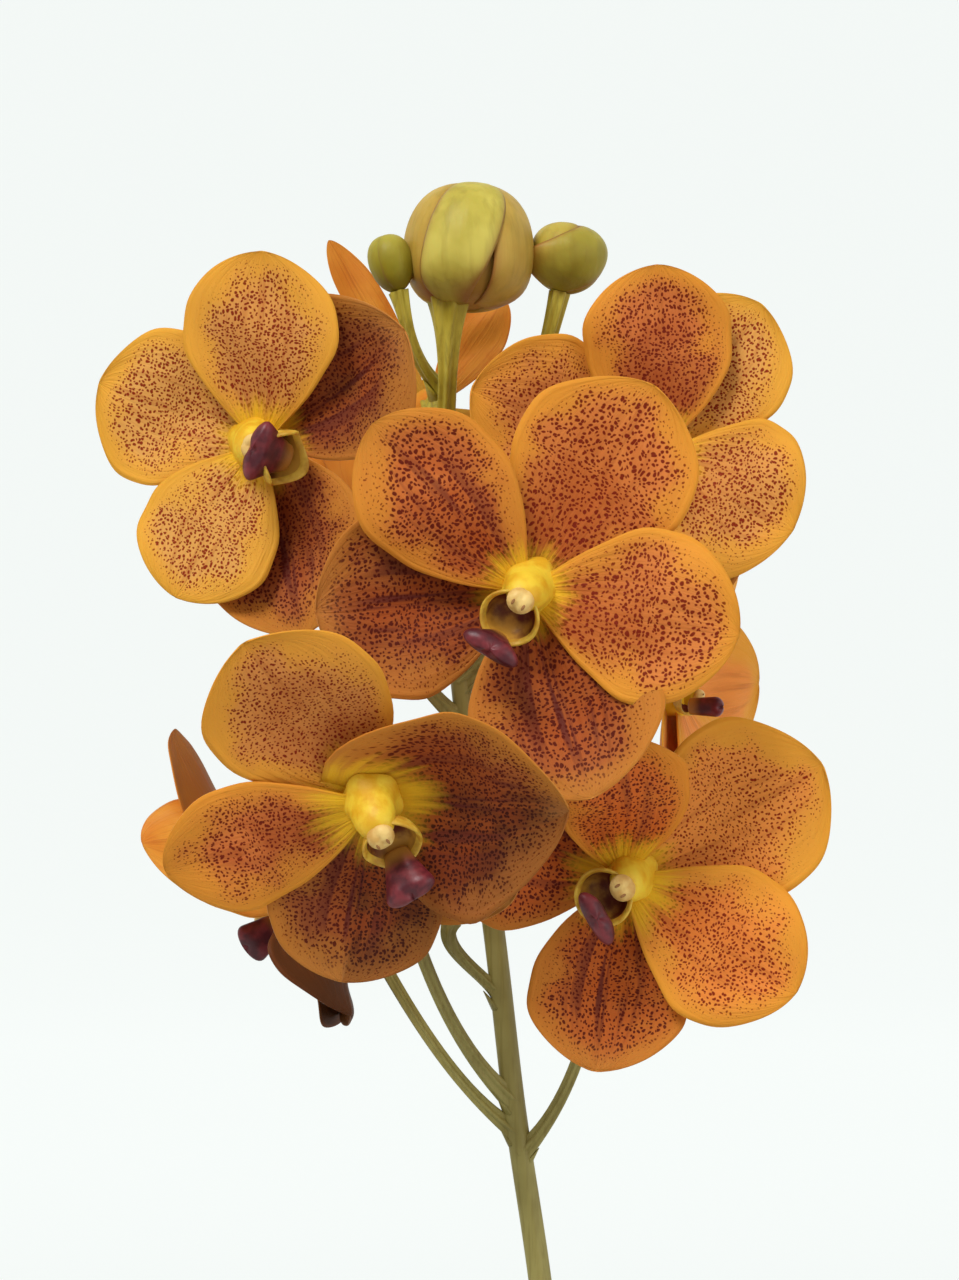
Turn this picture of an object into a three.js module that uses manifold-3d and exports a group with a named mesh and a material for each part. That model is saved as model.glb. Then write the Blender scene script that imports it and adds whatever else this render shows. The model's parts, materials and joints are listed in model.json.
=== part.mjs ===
// A potted vanda orchid: a clay pot of bark, a leafy stem with aerial roots, and a flower spike in bloom.
// Millimetres, +Z up. The origin is the middle of the pot's underside, and the front of the plant faces -Y.
import * as THREE from "three";
import { ConvexGeometry } from "three/addons/geometries/ConvexGeometry.js";
import { mergeVertices } from "three/addons/utils/BufferGeometryUtils.js";
import Module from "manifold-3d";

const wasm = await Module();
wasm.setup();

// Gap between two pieces that touch.
const GAP = 0.3;

// The clay pot.
const POT_HEIGHT = 118;
const POT_BASE_RADIUS = 48;
const POT_MOUTH_RADIUS = 66;
const POT_WALL = 6;
const POT_FLOOR = 8;
const POT_SIDES = 32;
const RIM_HEIGHT = 22;
const RIM_PROUD = 4;
const RIM_BEVEL = 2;
const DRAIN_RADIUS = 5;
const DRAIN_CIRCLE = 24;
const DRAIN_COUNT = 4;

// The bark that fills it, and the chunks that show on top.
const BARK_LEVEL = 98;
const BARK_CREST = 114;
const BARK_CLEARANCE = 1.2;
const BARK_SIDES = 28;
const CHUNK_COUNT = 32;
const CHUNK_CIRCLE = 50;
const CHUNK_ROOTED = 12;
const GOLDEN_ANGLE = 2.39996;

// The upright stem, in steps where leaves are or were.
const STEM_FOOT = 70;
const STEM_TOP = 214;
const STEM_RADIUS = 8;
const STEM_FLATTENING = 0.86;
const STEM_STEPS = 22;

// The strap leaves, from the oldest at the bottom to the youngest at the top.
const LEAF_COUNT = 8;
const FIRST_LEAF = 128;
const LEAF_SPACING = 10.5;
const LEAF_THICK = 2;
const LEAF_BASE_SHARE = 0.62;
const OLDEST_LEAF = { length: 205, width: 31, rise: 38, droop: 74 };
const YOUNGEST_LEAF = { length: 110, width: 25, rise: 64, droop: 60 };
const ROOT_RADIUS = 2.8;

// The flower spike and its stalks.
const SCAPE_RADIUS = 3.1;
const SCAPE_TIP_RADIUS = 2.1;
const PEDICEL_RADIUS = 1.5;
const OVARY_RADIUS = 2.3;

// A bloom: five tepals on a short receptacle, a column with the lip's cup, and the lip's tongue.
const TEPAL_THICK = 0.9;
const TEPAL_START = 1.5;
const TEPAL_ROWS = 6;
const TEPAL_COLUMNS = 4;
const CLAW_SHARE = 0.17;
const BELLY_POWER = 1.16;
const RECEPTACLE_RADIUS = 4.2;
const RECEPTACLE_BACK = 5;
const RECEPTACLE_FRONT = 3.4;
const COLUMN_FOOT = RECEPTACLE_FRONT + GAP;
const COLUMN_RADIUS = 3.3;
const COLUMN_HEIGHT = 8;
const COLUMN_NOD = 3.6;
const CUP_RADIUS = 5.8;
const CUP_DEPTH = 5;
const CUP_WALL = 0.9;
const CUP_OFFSET = -5;
const CUP_TILT = 18;
const TONGUE_LENGTH = 9;
const TONGUE_THICK = 2;
const TONGUE_ROOT = 2.2;
const TONGUE_SPREAD = 3.6;

// The buds.
const BUD_SIDES = 12;
const BUD_RINGS = 7;
const BUD_GROOVE = 0.9;

// Colours of the finished pieces.
const CLAY = 0xb5673f;
const BARK = 0x5b3d29;
const LEAF_GREEN = 0x5d7f35;
const STEM_GREEN = 0x7c8a4c;
const ROOT_GREY = 0xb9bda6;
const SPIKE_GREEN = 0x8a8b4a;
const ORANGE = 0xd98a2b;
const YELLOW = 0xe8c53a;
const PURPLE = 0x5e2433;
const BUD_GREEN = 0xb8b452;

const plant = new THREE.Group();
plant.name = "potted_vanda_orchid";

const at = (x, y, z) => new THREE.Vector3(x, y, z);
const radians = THREE.MathUtils.degToRad;
const mix = THREE.MathUtils.lerp;

// Draws that repeat in the same order each run.
function seeded(seed) {
  let state = seed;
  return () => {
    state = (state * 16807) % 2147483647;
    return state / 2147483647;
  };
}

function material(colour, roughness) {
  return new THREE.MeshStandardMaterial({ color: colour, roughness, metalness: 0 });
}

// A closed geometry as a solid for joining and cutting, its faces turned outwards.
function solidOf(geometry) {
  const bare = new THREE.BufferGeometry();
  bare.setAttribute("position", geometry.getAttribute("position"));
  if (geometry.index) bare.setIndex(geometry.index);
  const merged = mergeVertices(bare, 1e-4);
  const vertProperties = merged.getAttribute("position").array;
  const corners = merged.index.array;
  const kept = [];
  const flipped = [];
  for (let i = 0; i < corners.length; i += 3) {
    const [a, b, c] = [corners[i], corners[i + 1], corners[i + 2]];
    if (a === b || b === c || c === a) continue;
    kept.push(a, b, c);
    flipped.push(a, c, b);
  }
  const build = (faces) => {
    const triVerts = new Uint32Array(faces);
    return new wasm.Manifold(new wasm.Mesh({ numProp: 3, vertProperties, triVerts }));
  };
  const solid = build(kept);
  return solid.volume() > 0 ? solid : build(flipped);
}

function geometryOf(solid) {
  const mesh = solid.getMesh();
  const points = new Float32Array(mesh.numVert * 3);
  for (let i = 0; i < mesh.numVert; i++) {
    points.set(mesh.vertProperties.subarray(i * mesh.numProp, i * mesh.numProp + 3), i * 3);
  }
  const geometry = new THREE.BufferGeometry();
  geometry.setAttribute("position", new THREE.BufferAttribute(points, 3));
  geometry.setIndex(new THREE.BufferAttribute(mesh.triVerts, 1));
  geometry.computeVertexNormals();
  return geometry;
}

function joined(solids) {
  return solids.slice(1).reduce((whole, next) => whole.add(next), solids[0]);
}

// Puts a named piece in a group.
function addPiece(group, name, solid, finish) {
  const mesh = new THREE.Mesh(geometryOf(solid), finish);
  mesh.name = name;
  group.add(mesh);
}

// A round body about Z, from its profile as pairs of radius and height.
function lathe(profile, sides) {
  const points = profile.map(([radius, height]) => new THREE.Vector2(radius, height));
  return new THREE.LatheGeometry(points, sides).rotateX(Math.PI / 2);
}

// A round body along a curve with flat ends, its radius given for each share of the way along.
function sweep(curve, radiusAt, sides, steps) {
  const frames = curve.computeFrenetFrames(steps, false);
  const points = [];
  for (let i = 0; i <= steps; i++) {
    const centre = curve.getPointAt(i / steps);
    const radius = radiusAt(i / steps);
    for (let k = 0; k < sides; k++) {
      const turn = (2 * Math.PI * k) / sides;
      const across = frames.normals[i].clone().multiplyScalar(Math.cos(turn) * radius);
      across.addScaledVector(frames.binormals[i], Math.sin(turn) * radius);
      points.push(centre.clone().add(across));
    }
  }
  points.push(curve.getPointAt(0), curve.getPointAt(1));
  const [first, last] = [points.length - 2, points.length - 1];
  const faces = [];
  for (let k = 0; k < sides; k++) {
    const next = (k + 1) % sides;
    for (let ring = 0; ring < steps * sides; ring += sides) {
      const [a, b, c, d] = [ring + k, ring + next, ring + sides + next, ring + sides + k];
      faces.push(a, b, c, a, c, d);
    }
    faces.push(first, next, k, last, steps * sides + k, steps * sides + next);
  }
  return solidOf(new THREE.BufferGeometry().setFromPoints(points).setIndex(faces));
}

// A blade of even thickness over surface(s, q), where s runs from its base to its tip and q from edge to
// edge. Both faces are split into the same triangles, so that they never cross.
function blade(surface, thickness, rowShares, columns) {
  const step = 0.01;
  const rows = rowShares.length - 1;
  const normalAt = (s, q) => {
    const inner = Math.min(Math.max(s, 2 * step), 1 - 3 * step);
    const along = surface(inner + step, q).sub(surface(inner - step, q));
    const across = surface(inner, q + step).sub(surface(inner, q - step));
    return along.cross(across).normalize();
  };
  const points = [];
  for (const side of [1, -1]) {
    rowShares.forEach((s, row) => {
      for (let column = 0; column <= columns; column++) {
        const q = (2 * column) / columns - 1;
        const normal = normalAt(s, row === rows ? 0 : q);
        points.push(surface(s, q).addScaledVector(normal, (side * thickness) / 2));
      }
    });
  }
  const back = (rows + 1) * (columns + 1);
  const cell = (row, column) => row * (columns + 1) + column;
  const faces = [];
  const wall = (a, b) => faces.push(a, b, back + b, a, back + b, back + a);
  for (let row = 0; row < rows; row++) {
    for (let column = 0; column < columns; column++) {
      const [a, b] = [cell(row, column), cell(row + 1, column)];
      const [c, d] = [cell(row + 1, column + 1), cell(row, column + 1)];
      faces.push(a, b, c, a, c, d);
      faces.push(back + a, back + c, back + b, back + a, back + d, back + c);
    }
    wall(cell(row + 1, 0), cell(row, 0));
    wall(cell(row, columns), cell(row + 1, columns));
  }
  for (let column = 0; column < columns; column++) {
    wall(cell(0, column), cell(0, column + 1));
    wall(cell(rows, column + 1), cell(rows, column));
  }
  return solidOf(new THREE.BufferGeometry().setFromPoints(points).setIndex(faces));
}

// Half-width of a tepal, as a share of its widest: a narrow claw that opens into a round blade.
function tepalOutline(s, widest) {
  if (s >= 1) return 0;
  const belly = Math.sin(Math.PI * s ** (Math.log(0.5) / Math.log(widest)));
  const claw = CLAW_SHARE * (1 - s);
  return Math.sqrt(Math.max(belly, 0) ** BELLY_POWER + claw * claw);
}

// The mid-surface of a tepal in its bloom's frame: x right, y to the back sepal, z out of the bloom's face.
// angle turns it clockwise from the back sepal; level sets its height; lift and curl raise its mid-line;
// cup raises its edges; crease folds its mid-line; wave ripples its margin, from phase on.
function tepalSurface({ angle, length, width, level, lift, curl, cup, crease, wave, phase, widest }) {
  const turn = radians(angle);
  const rise = radians(lift);
  const curve = radians(curl);
  return (s, q) => {
    const slope = rise + curve * s;
    const half = (width / 2) * tepalOutline(s, widest);
    const out = TEPAL_START + (length * (Math.sin(slope) - Math.sin(rise))) / curve;
    const up = (length * (Math.cos(rise) - Math.cos(slope))) / curve;
    const margin = q * q * s * (1 - s ** 6);
    const ripple = wave * margin * Math.sin(2 * Math.PI * (1.4 * s + 0.35 * q) + phase);
    const above = half * (cup * q * q + crease * (Math.abs(q) - 0.5)) + ripple;
    const along = out - above * Math.sin(slope);
    const across = q * half;
    const x = along * Math.sin(turn) + across * Math.cos(turn);
    const y = along * Math.cos(turn) - across * Math.sin(turn);
    return at(x, y, level + up + above * Math.cos(slope));
  };
}

// The usual tepals of this flower: three sepals behind two petals. A bloom's own values are laid over these.
const SEPAL = { level: -1.2, lift: 6, curl: 4, cup: 0.1, crease: 0.08, wave: 1, widest: 0.6 };
const LATERAL = { ...SEPAL, length: 43, width: 39, crease: 0.16 };
const PETAL = { level: 1.4, lift: 16, curl: -10, cup: 0.06, crease: 0, wave: 1.3, widest: 0.6 };
const USUAL = {
  dorsal: { ...SEPAL, angle: 0, length: 46, width: 38, phase: 0.6 },
  right: { ...PETAL, angle: 68, length: 42, width: 35, phase: 1.4 },
  left: { ...PETAL, angle: -68, length: 42, width: 35, phase: 3.6 },
  lateralRight: { ...LATERAL, angle: 130, phase: 2.2 },
  lateralLeft: { ...LATERAL, angle: -130, phase: 4.7 },
};

// The blooms. place is the middle of the flower. yaw turns its face to the right and pitch up, from straight
// ahead, and roll turns it clockwise in its own plane. joint is how far up the spike its stalk leaves, and
// lean is the way that the stalk sets off. size scales its tepals.
const BLOOMS = [
  {
    place: at(5.4, -50, 471.9),
    turned: { yaw: 0, pitch: 0, roll: 32 },
    stalk: { joint: 0.69, lean: at(0.2, -1, 0.9) },
    dorsal: { length: 46.5 },
    right: { angle: 70 },
    left: { angle: -75, width: 31.5, length: 44 },
    lateralRight: { angle: 131, lift: 14 },
    lateralLeft: { angle: -128, length: 41 },
  },
  {
    place: at(-48.3, -30, 501.7),
    turned: { yaw: -18, pitch: 0, roll: -69 },
    stalk: { joint: 0.76, lean: at(-1, -0.4, 0.8) },
    dorsal: { length: 35.5, width: 33 },
    right: { angle: 74, length: 38, width: 34 },
    left: { angle: -84, length: 34, width: 31 },
    lateralRight: { angle: 124, length: 38, width: 31 },
    lateralLeft: { length: 39, width: 30 },
  },
  {
    place: at(32.3, -20, 500),
    turned: { yaw: 10, pitch: 5, roll: 45 },
    stalk: { joint: 0.79, lean: at(1, -0.3, 0.9) },
    dorsal: { angle: -10, length: 37, width: 31 },
    right: { angle: 76, length: 30.5, width: 36 },
    left: { angle: -46, length: 37.5, width: 32 },
    lateralRight: { length: 34, width: 30 },
    lateralLeft: { angle: -117, length: 40, width: 34 },
  },
  {
    place: at(-24.7, -58, 430.3),
    turned: { yaw: 0, pitch: -25, roll: -34 },
    stalk: { joint: 0.54, lean: at(-1, -0.5, 0.9) },
    dorsal: { length: 43 },
    right: { angle: 121, length: 38, width: 45, level: -1.4, lift: 4, curl: 20, cup: 0.4, widest: 0.42 },
    left: { angle: -73, width: 27, lift: 10 },
    lateralRight: { angle: 165, length: 34, width: 28, lift: 4 },
    lateralLeft: { angle: -136, length: 38, width: 34.5 },
  },
  {
    place: at(25.3, -34, 413.7),
    turned: { yaw: 8, pitch: 0, roll: 60 },
    stalk: { joint: 0.505, lean: at(0.9, -0.2, 0.9) },
    dorsal: { length: 45 },
    right: { angle: 64, length: 40, width: 33 },
    left: { length: 34, width: 28, lift: 40 },
    lateralRight: { length: 38, width: 33 },
    lateralLeft: { length: 38, width: 32, lift: 2 },
  },
  {
    place: at(36.8, 7, 450),
    turned: { yaw: 70, pitch: 0, roll: 86 },
    stalk: { joint: 0.65, lean: at(1, 0.2, 0.9) },
    size: 0.9,
    dorsal: { length: 40, width: 32, lift: 14 },
  },
  {
    place: at(-41, 6, 408),
    turned: { yaw: -98, pitch: -32, roll: -75 },
    stalk: { joint: 0.52, lean: at(-1, 0, 0.9) },
    size: 0.92,
    right: { angle: 75, length: 47, lift: 10 },
    left: { length: 31 },
    lateralRight: { angle: 121, length: 46, width: 31, curl: 44 },
    lateralLeft: { length: 31 },
  },
  {
    place: at(-14.7, 20, 512),
    turned: { yaw: 180, pitch: 0, roll: 0 },
    stalk: { joint: 0.84, lean: at(-0.1, 1, 0.9) },
    size: 0.9,
    dorsal: { angle: 31, width: 15 },
    right: { angle: 96, length: 32 },
    left: { angle: -37, length: 26, width: 17 },
    lateralRight: { angle: 150, length: 28 },
    lateralLeft: { angle: -150, length: 28 },
  },
  {
    place: at(18, 36, 486),
    turned: { yaw: 168, pitch: 0, roll: -20 },
    stalk: { joint: 0.72, lean: at(0.4, 1, 0.9) },
    size: 0.82,
  },
];

// The buds: the foot of each, the way it points, its size, and its stalk as for a bloom.
const BUDS = [
  {
    place: at(-6.6, -8, 531.5),
    way: at(0.02, 0.15, 1),
    length: 25.5,
    radius: 13,
    stalk: { joint: 0.99, lean: at(0.2, -0.4, 1) },
  },
  {
    place: at(-20.9, -12, 534.7),
    way: at(-0.26, 0.1, 1),
    length: 11.4,
    radius: 4.4,
    stalk: { joint: 0.965, lean: at(-0.8, -0.6, 0.8) },
  },
  {
    place: at(12.9, -2, 535.3),
    way: at(0.22, 0.1, 1),
    length: 14,
    radius: 7.4,
    stalk: { joint: 0.88, lean: at(1, 0.1, 1) },
  },
];

// A bare stalk whose flower has dropped.
const DROPPED = {
  place: at(-9.5, -10, 404),
  way: at(0.5, -0.2, 0.8),
  stalk: { joint: 0.6, lean: at(-0.9, -0.2, 1) },
};

// The middle line of the spike: out of the leaves in front of the stem, then up and over to the left.
const spikeLine = new THREE.CatmullRomCurve3([
  at(0, -10, 180),
  at(2, -17, 200),
  at(9, -22, 240),
  at(13, -13, 290),
  at(8.6, -1, 328),
  at(3.4, 0, 363),
  at(-0.8, 0, 399),
  at(-7.5, 0, 449),
  at(-11.8, 0, 500),
  at(-12.4, -1, 515),
  at(-10.8, -3, 528),
]);

// Aerial roots: two hang over the pot's rim, and the others go down into the bark.
const ROOTS = [
  [at(3, -4, 118), at(24, -14, 128), at(56, -30, 128), at(79, -41, 108), at(84, -45, 74), at(80, -50, 46)],
  [at(-3, 4, 122), at(-26, 16, 134), at(-58, 30, 130), at(-80, 38, 104), at(-84, 42, 78)],
  [at(-2, -4, 112), at(-14, -18, 121), at(-30, -30, 114), at(-36, -36, 88)],
  [at(4, 3, 114), at(20, 12, 122), at(34, 24, 112), at(38, 30, 86)],
  [at(2, -4, 110), at(12, -22, 117), at(20, -38, 108), at(20, -42, 84)],
];

// A group at the middle of a bloom, turned so that its z points out of the bloom's face.
function bloomFrame({ place, turned }) {
  const frame = new THREE.Group();
  frame.position.copy(place);
  frame.rotateZ(radians(turned.yaw));
  frame.rotateX(radians(90 - turned.pitch));
  frame.rotateZ(-radians(turned.roll));
  return frame;
}

function receptacleSolid() {
  const profile = [
    [0, -RECEPTACLE_BACK],
    [OVARY_RADIUS, -RECEPTACLE_BACK],
    [RECEPTACLE_RADIUS, -1.5],
    [RECEPTACLE_RADIUS, RECEPTACLE_FRONT],
    [0, RECEPTACLE_FRONT],
  ];
  return solidOf(lathe(profile, 9));
}

// The column nods forward over the lip's cup.
function columnSolid() {
  const [foot, knee] = [at(0, 1, COLUMN_FOOT), at(0, 1, COLUMN_FOOT + 0.75 * COLUMN_HEIGHT)];
  const arch = new THREE.QuadraticBezierCurve3(foot, knee, at(0, -COLUMN_NOD, COLUMN_FOOT + COLUMN_HEIGHT));
  return sweep(arch, (t) => COLUMN_RADIUS * (t < 0.99 ? 1 : 0.7), 6, 3);
}

function placedCup(profile) {
  const cup = lathe(profile, 8).rotateX(radians(CUP_TILT));
  return solidOf(cup.translate(0, CUP_OFFSET, COLUMN_FOOT));
}

// The lip's cup, which its side lobes form.
function cupSolid() {
  const outside = [[0, 0], [0.75 * CUP_RADIUS, 0], [CUP_RADIUS, CUP_DEPTH]];
  const inside = [[CUP_RADIUS - CUP_WALL, CUP_DEPTH], [0.5 * CUP_RADIUS, 1.2], [0, 1.2]];
  return placedCup([...outside, ...inside]);
}

// The space that the lip's tongue leaves for the cup.
function cupRoom() {
  const [radius, top] = [CUP_RADIUS + GAP, CUP_DEPTH + GAP];
  return placedCup([[0, -GAP], [0.75 * radius, -GAP], [radius, top], [0, top]]);
}

// The lip's tongue: a thick fan that narrows to the cup's outer wall, with a notch in its end.
function tongueSolid() {
  const fan = (s, q) => {
    const half = TONGUE_ROOT + TONGUE_SPREAD * s ** 1.4;
    const arch = 1.4 * s * s * (1 - q * q) - 1.6 * s * q * q;
    const notch = 0.9 * s * (1 - q * q);
    return at(q * half, CUP_OFFSET - CUP_RADIUS + 0.8 - 5 * s + arch, 5 + TONGUE_LENGTH * s - notch);
  };
  return blade(fan, TONGUE_THICK, [0, 0.5, 1], 4).subtract(cupRoom());
}

function addBloom(bloom, number) {
  const frame = bloomFrame(bloom);
  const rows = Array.from({ length: TEPAL_ROWS + 1 }, (_, i) => Math.sin((Math.PI * i) / (2 * TEPAL_ROWS)));
  const tepals = Object.entries(USUAL).map(([name, usual]) => {
    const own = { ...usual, ...bloom[name] };
    own.length *= bloom.size || 1;
    own.width *= bloom.size || 1;
    return blade(tepalSurface(own), TEPAL_THICK, rows, TEPAL_COLUMNS);
  });
  addPiece(frame, `bloom_${number}`, joined([...tepals, receptacleSolid()]), material(ORANGE, 0.5));
  addPiece(frame, `column_${number}`, columnSolid().add(cupSolid()), material(YELLOW, 0.4));
  addPiece(frame, `lip_${number}`, tongueSolid(), material(PURPLE, 0.35));
  plant.add(frame);
}

// A bud: three sepals closed over each other, with a groove at each seam.
function budSolid({ length, radius }) {
  const points = [];
  for (let ring = 1; ring < BUD_RINGS; ring++) {
    const t = ring / BUD_RINGS;
    const swell = Math.sin(Math.PI * t ** 0.86) ** 0.7;
    const height = (length * (1 - Math.cos(Math.PI * t))) / 2;
    for (let k = 0; k < BUD_SIDES; k++) {
      const turn = (2 * Math.PI * k) / BUD_SIDES;
      const around = radius * swell * (k % (BUD_SIDES / 3) === 0 ? BUD_GROOVE : 1);
      points.push(at(around * Math.cos(turn), around * Math.sin(turn), height));
    }
  }
  points.push(at(0, 0, 0), at(0, 0, length));
  const [base, tip] = [points.length - 2, points.length - 1];
  const last = (BUD_RINGS - 2) * BUD_SIDES;
  const faces = [];
  for (let k = 0; k < BUD_SIDES; k++) {
    const next = (k + 1) % BUD_SIDES;
    for (let ring = 0; ring < last; ring += BUD_SIDES) {
      const [a, b] = [ring + k, ring + next];
      faces.push(a, b, b + BUD_SIDES, a, b + BUD_SIDES, a + BUD_SIDES);
    }
    faces.push(base, next, k, tip, last + k, last + next);
  }
  return solidOf(new THREE.BufferGeometry().setFromPoints(points).setIndex(faces));
}

function addBud(bud, number) {
  const frame = new THREE.Group();
  frame.position.copy(bud.place);
  frame.quaternion.setFromUnitVectors(at(0, 0, 1), bud.way.clone().normalize());
  addPiece(frame, `bud_${number}`, budSolid(bud), material(BUD_GREEN, 0.5));
  plant.add(frame);
}

// A stalk from the spike to the back of a flower or a bud, which it meets square on.
function stalkSolid({ joint, lean }, end, way) {
  const start = spikeLine.getPointAt(joint);
  const reach = start.distanceTo(end);
  const first = start.clone().addScaledVector(lean.clone().normalize(), reach * 0.4);
  const last = end.clone().addScaledVector(way, -reach * 0.3);
  const line = new THREE.CubicBezierCurve3(start, first, last, end);
  return sweep(line, (t) => mix(PEDICEL_RADIUS, OVARY_RADIUS, t * t), 5, 6);
}

function spikeSolid(stemRoom) {
  const limbs = [sweep(spikeLine, (t) => mix(SCAPE_RADIUS, SCAPE_TIP_RADIUS, t), 7, 18)];
  for (const bloom of BLOOMS) {
    const way = at(0, 0, 1).applyQuaternion(bloomFrame(bloom).quaternion);
    const end = bloom.place.clone().addScaledVector(way, -RECEPTACLE_BACK - GAP);
    limbs.push(stalkSolid(bloom.stalk, end, way));
  }
  for (const bud of [...BUDS, DROPPED]) {
    const way = bud.way.clone().normalize();
    limbs.push(stalkSolid(bud.stalk, bud.place.clone().addScaledVector(way, -GAP), way));
  }
  return joined(limbs).subtract(stemRoom);
}

// The stem, oval in section, with the stepped sheaths of old and living leaves.
function stemSolid(grow) {
  const line = new THREE.LineCurve3(at(0, 0, STEM_FOOT), at(0, 0, STEM_TOP));
  const radiusAt = (t) => {
    const sheath = Math.round(t * STEM_STEPS) % 2 ? 0.8 : -0.4;
    return (STEM_RADIUS + sheath) * (t > 0.99 ? 0.6 : 1) + grow;
  };
  return sweep(line, radiusAt, 8, STEM_STEPS).scale([1, STEM_FLATTENING, 1]);
}

// A strap leaf in the plane of the fan, channelled along its middle, with an unevenly bitten tip. It sets
// off from the stem at rise degrees, and droop is how far it has turned down at its tip.
function leafSolid({ side, height, length, width, rise, droop, yaw }) {
  const bites = [0.056, 0.018, 0.053, 0, 0.056];
  const slopeAt = (reach) => radians(rise - droop * reach ** 1.25);
  const surface = (s, q) => {
    const reach = s * (1 - bites[Math.min(4, Math.max(0, Math.round(2 * q + 2)))] * s * s);
    const samples = 12;
    let out = STEM_RADIUS - 2;
    let up = 0;
    for (let i = 0; i < samples; i++) {
      const slope = slopeAt((reach * (i + 0.5)) / samples);
      out += (Math.cos(slope) * length * reach) / samples;
      up += (Math.sin(slope) * length * reach) / samples;
    }
    const opening = Math.sin((Math.PI / 2) * Math.min(1, reach / 0.7));
    const half = (width / 2) * mix(LEAF_BASE_SHARE, 1, opening) * (1 - 0.25 * reach ** 4);
    const fold = (0.75 - 0.45 * reach) * half * Math.abs(q);
    const x = out - fold * Math.sin(slopeAt(reach));
    const y = q * half * (0.75 + 0.25 * reach);
    const turned = at(x * side, y * side, 0).applyAxisAngle(at(0, 0, 1), radians(yaw));
    return turned.add(at(0, 0, height + up + fold * Math.cos(slopeAt(reach))));
  };
  const rows = Array.from({ length: 8 }, (_, i) => i / 7);
  return blade(surface, LEAF_THICK, rows, 4);
}

// The leaves stand left and right in turn.
function leafAt(index) {
  const young = index / (LEAF_COUNT - 1);
  return {
    side: index % 2 ? 1 : -1,
    height: FIRST_LEAF + LEAF_SPACING * index,
    length: mix(OLDEST_LEAF.length, YOUNGEST_LEAF.length, young * young),
    width: mix(OLDEST_LEAF.width, YOUNGEST_LEAF.width, young),
    rise: mix(OLDEST_LEAF.rise, YOUNGEST_LEAF.rise, young),
    droop: mix(OLDEST_LEAF.droop, YOUNGEST_LEAF.droop, young),
    yaw: 9 * Math.sin(2.4 * index + 0.5),
  };
}

function rootSolid(points, grow) {
  const line = new THREE.CatmullRomCurve3(points);
  return sweep(line, (t) => ROOT_RADIUS * (1 - 0.15 * t) * (t > 0.99 ? 0.45 : 1) + grow, 6, 9);
}

function potSolid() {
  const radiusAt = (z) => mix(POT_BASE_RADIUS, POT_MOUTH_RADIUS, z / POT_HEIGHT);
  const shoulder = POT_HEIGHT - RIM_HEIGHT;
  const profile = [
    [0, 0],
    [POT_BASE_RADIUS, 0],
    [radiusAt(shoulder), shoulder],
    [radiusAt(shoulder) + RIM_PROUD, shoulder + 1.5],
    [POT_MOUTH_RADIUS + RIM_PROUD, POT_HEIGHT],
    [POT_MOUTH_RADIUS - POT_WALL + RIM_BEVEL, POT_HEIGHT],
    [POT_MOUTH_RADIUS - POT_WALL, POT_HEIGHT - RIM_BEVEL],
    [POT_BASE_RADIUS - POT_WALL, POT_FLOOR],
    [0, POT_FLOOR],
  ];
  let pot = solidOf(lathe(profile, POT_SIDES));
  for (let k = 0; k < DRAIN_COUNT; k++) {
    const turn = (2 * Math.PI * (k + 0.5)) / DRAIN_COUNT;
    const drill = new THREE.CylinderGeometry(DRAIN_RADIUS, DRAIN_RADIUS, 3 * POT_FLOOR, 10);
    drill.rotateX(Math.PI / 2);
    drill.translate(DRAIN_CIRCLE * Math.cos(turn), DRAIN_CIRCLE * Math.sin(turn), POT_FLOOR / 2);
    pot = pot.subtract(solidOf(drill));
  }
  return pot;
}

// A chunk of bark: a tilted block with pinched corners that runs down into the body below.
function chunkSolid(index, draw) {
  const block = new THREE.BoxGeometry(14 + 12 * draw(), 10 + 6 * draw(), 6 + 5 * draw());
  const corners = block.getAttribute("position");
  for (let k = 0; k < corners.count; k++) {
    const pinch = 1 - 0.25 * Math.abs(Math.sin(corners.getX(k) * 3 + corners.getY(k) * 5 + index));
    corners.setXY(k, corners.getX(k) * pinch, corners.getY(k) * pinch);
  }
  block.rotateX(0.7 * (draw() - 0.5)).rotateY(0.7 * (draw() - 0.5)).rotateZ(Math.PI * draw());
  const away = CHUNK_CIRCLE * Math.sqrt((index + 0.5) / CHUNK_COUNT);
  const turn = GOLDEN_ANGLE * index;
  block.translate(away * Math.cos(turn), away * Math.sin(turn), BARK_LEVEL + 5 * draw());
  const points = [];
  for (let k = 0; k < corners.count; k++) {
    const corner = new THREE.Vector3().fromBufferAttribute(corners, k);
    points.push(corner, corner.clone().sub(at(0, 0, CHUNK_ROOTED)));
  }
  return solidOf(new ConvexGeometry(points));
}

// The bark: one body that fills the pot, with chunks on top and plain holes for the stem and the roots.
function barkSolid(stemRoom, rootRoom) {
  const draw = seeded(11);
  const wall = POT_WALL + BARK_CLEARANCE;
  const rise = (POT_MOUTH_RADIUS - POT_BASE_RADIUS) / POT_HEIGHT;
  const radiusAt = (z) => POT_BASE_RADIUS - wall + rise * (z - POT_FLOOR);
  const low = POT_FLOOR + GAP;
  const filled = (top) => {
    const profile = [[0, low], [radiusAt(low), low], [radiusAt(top), top], [0, top]];
    return solidOf(lathe(profile, BARK_SIDES));
  };
  const chunks = Array.from({ length: CHUNK_COUNT }, (_, index) => chunkSolid(index, draw));
  const heap = joined([filled(BARK_LEVEL), ...chunks]).intersect(filled(BARK_CREST));
  return heap.subtract(stemRoom).subtract(rootRoom);
}

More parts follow.
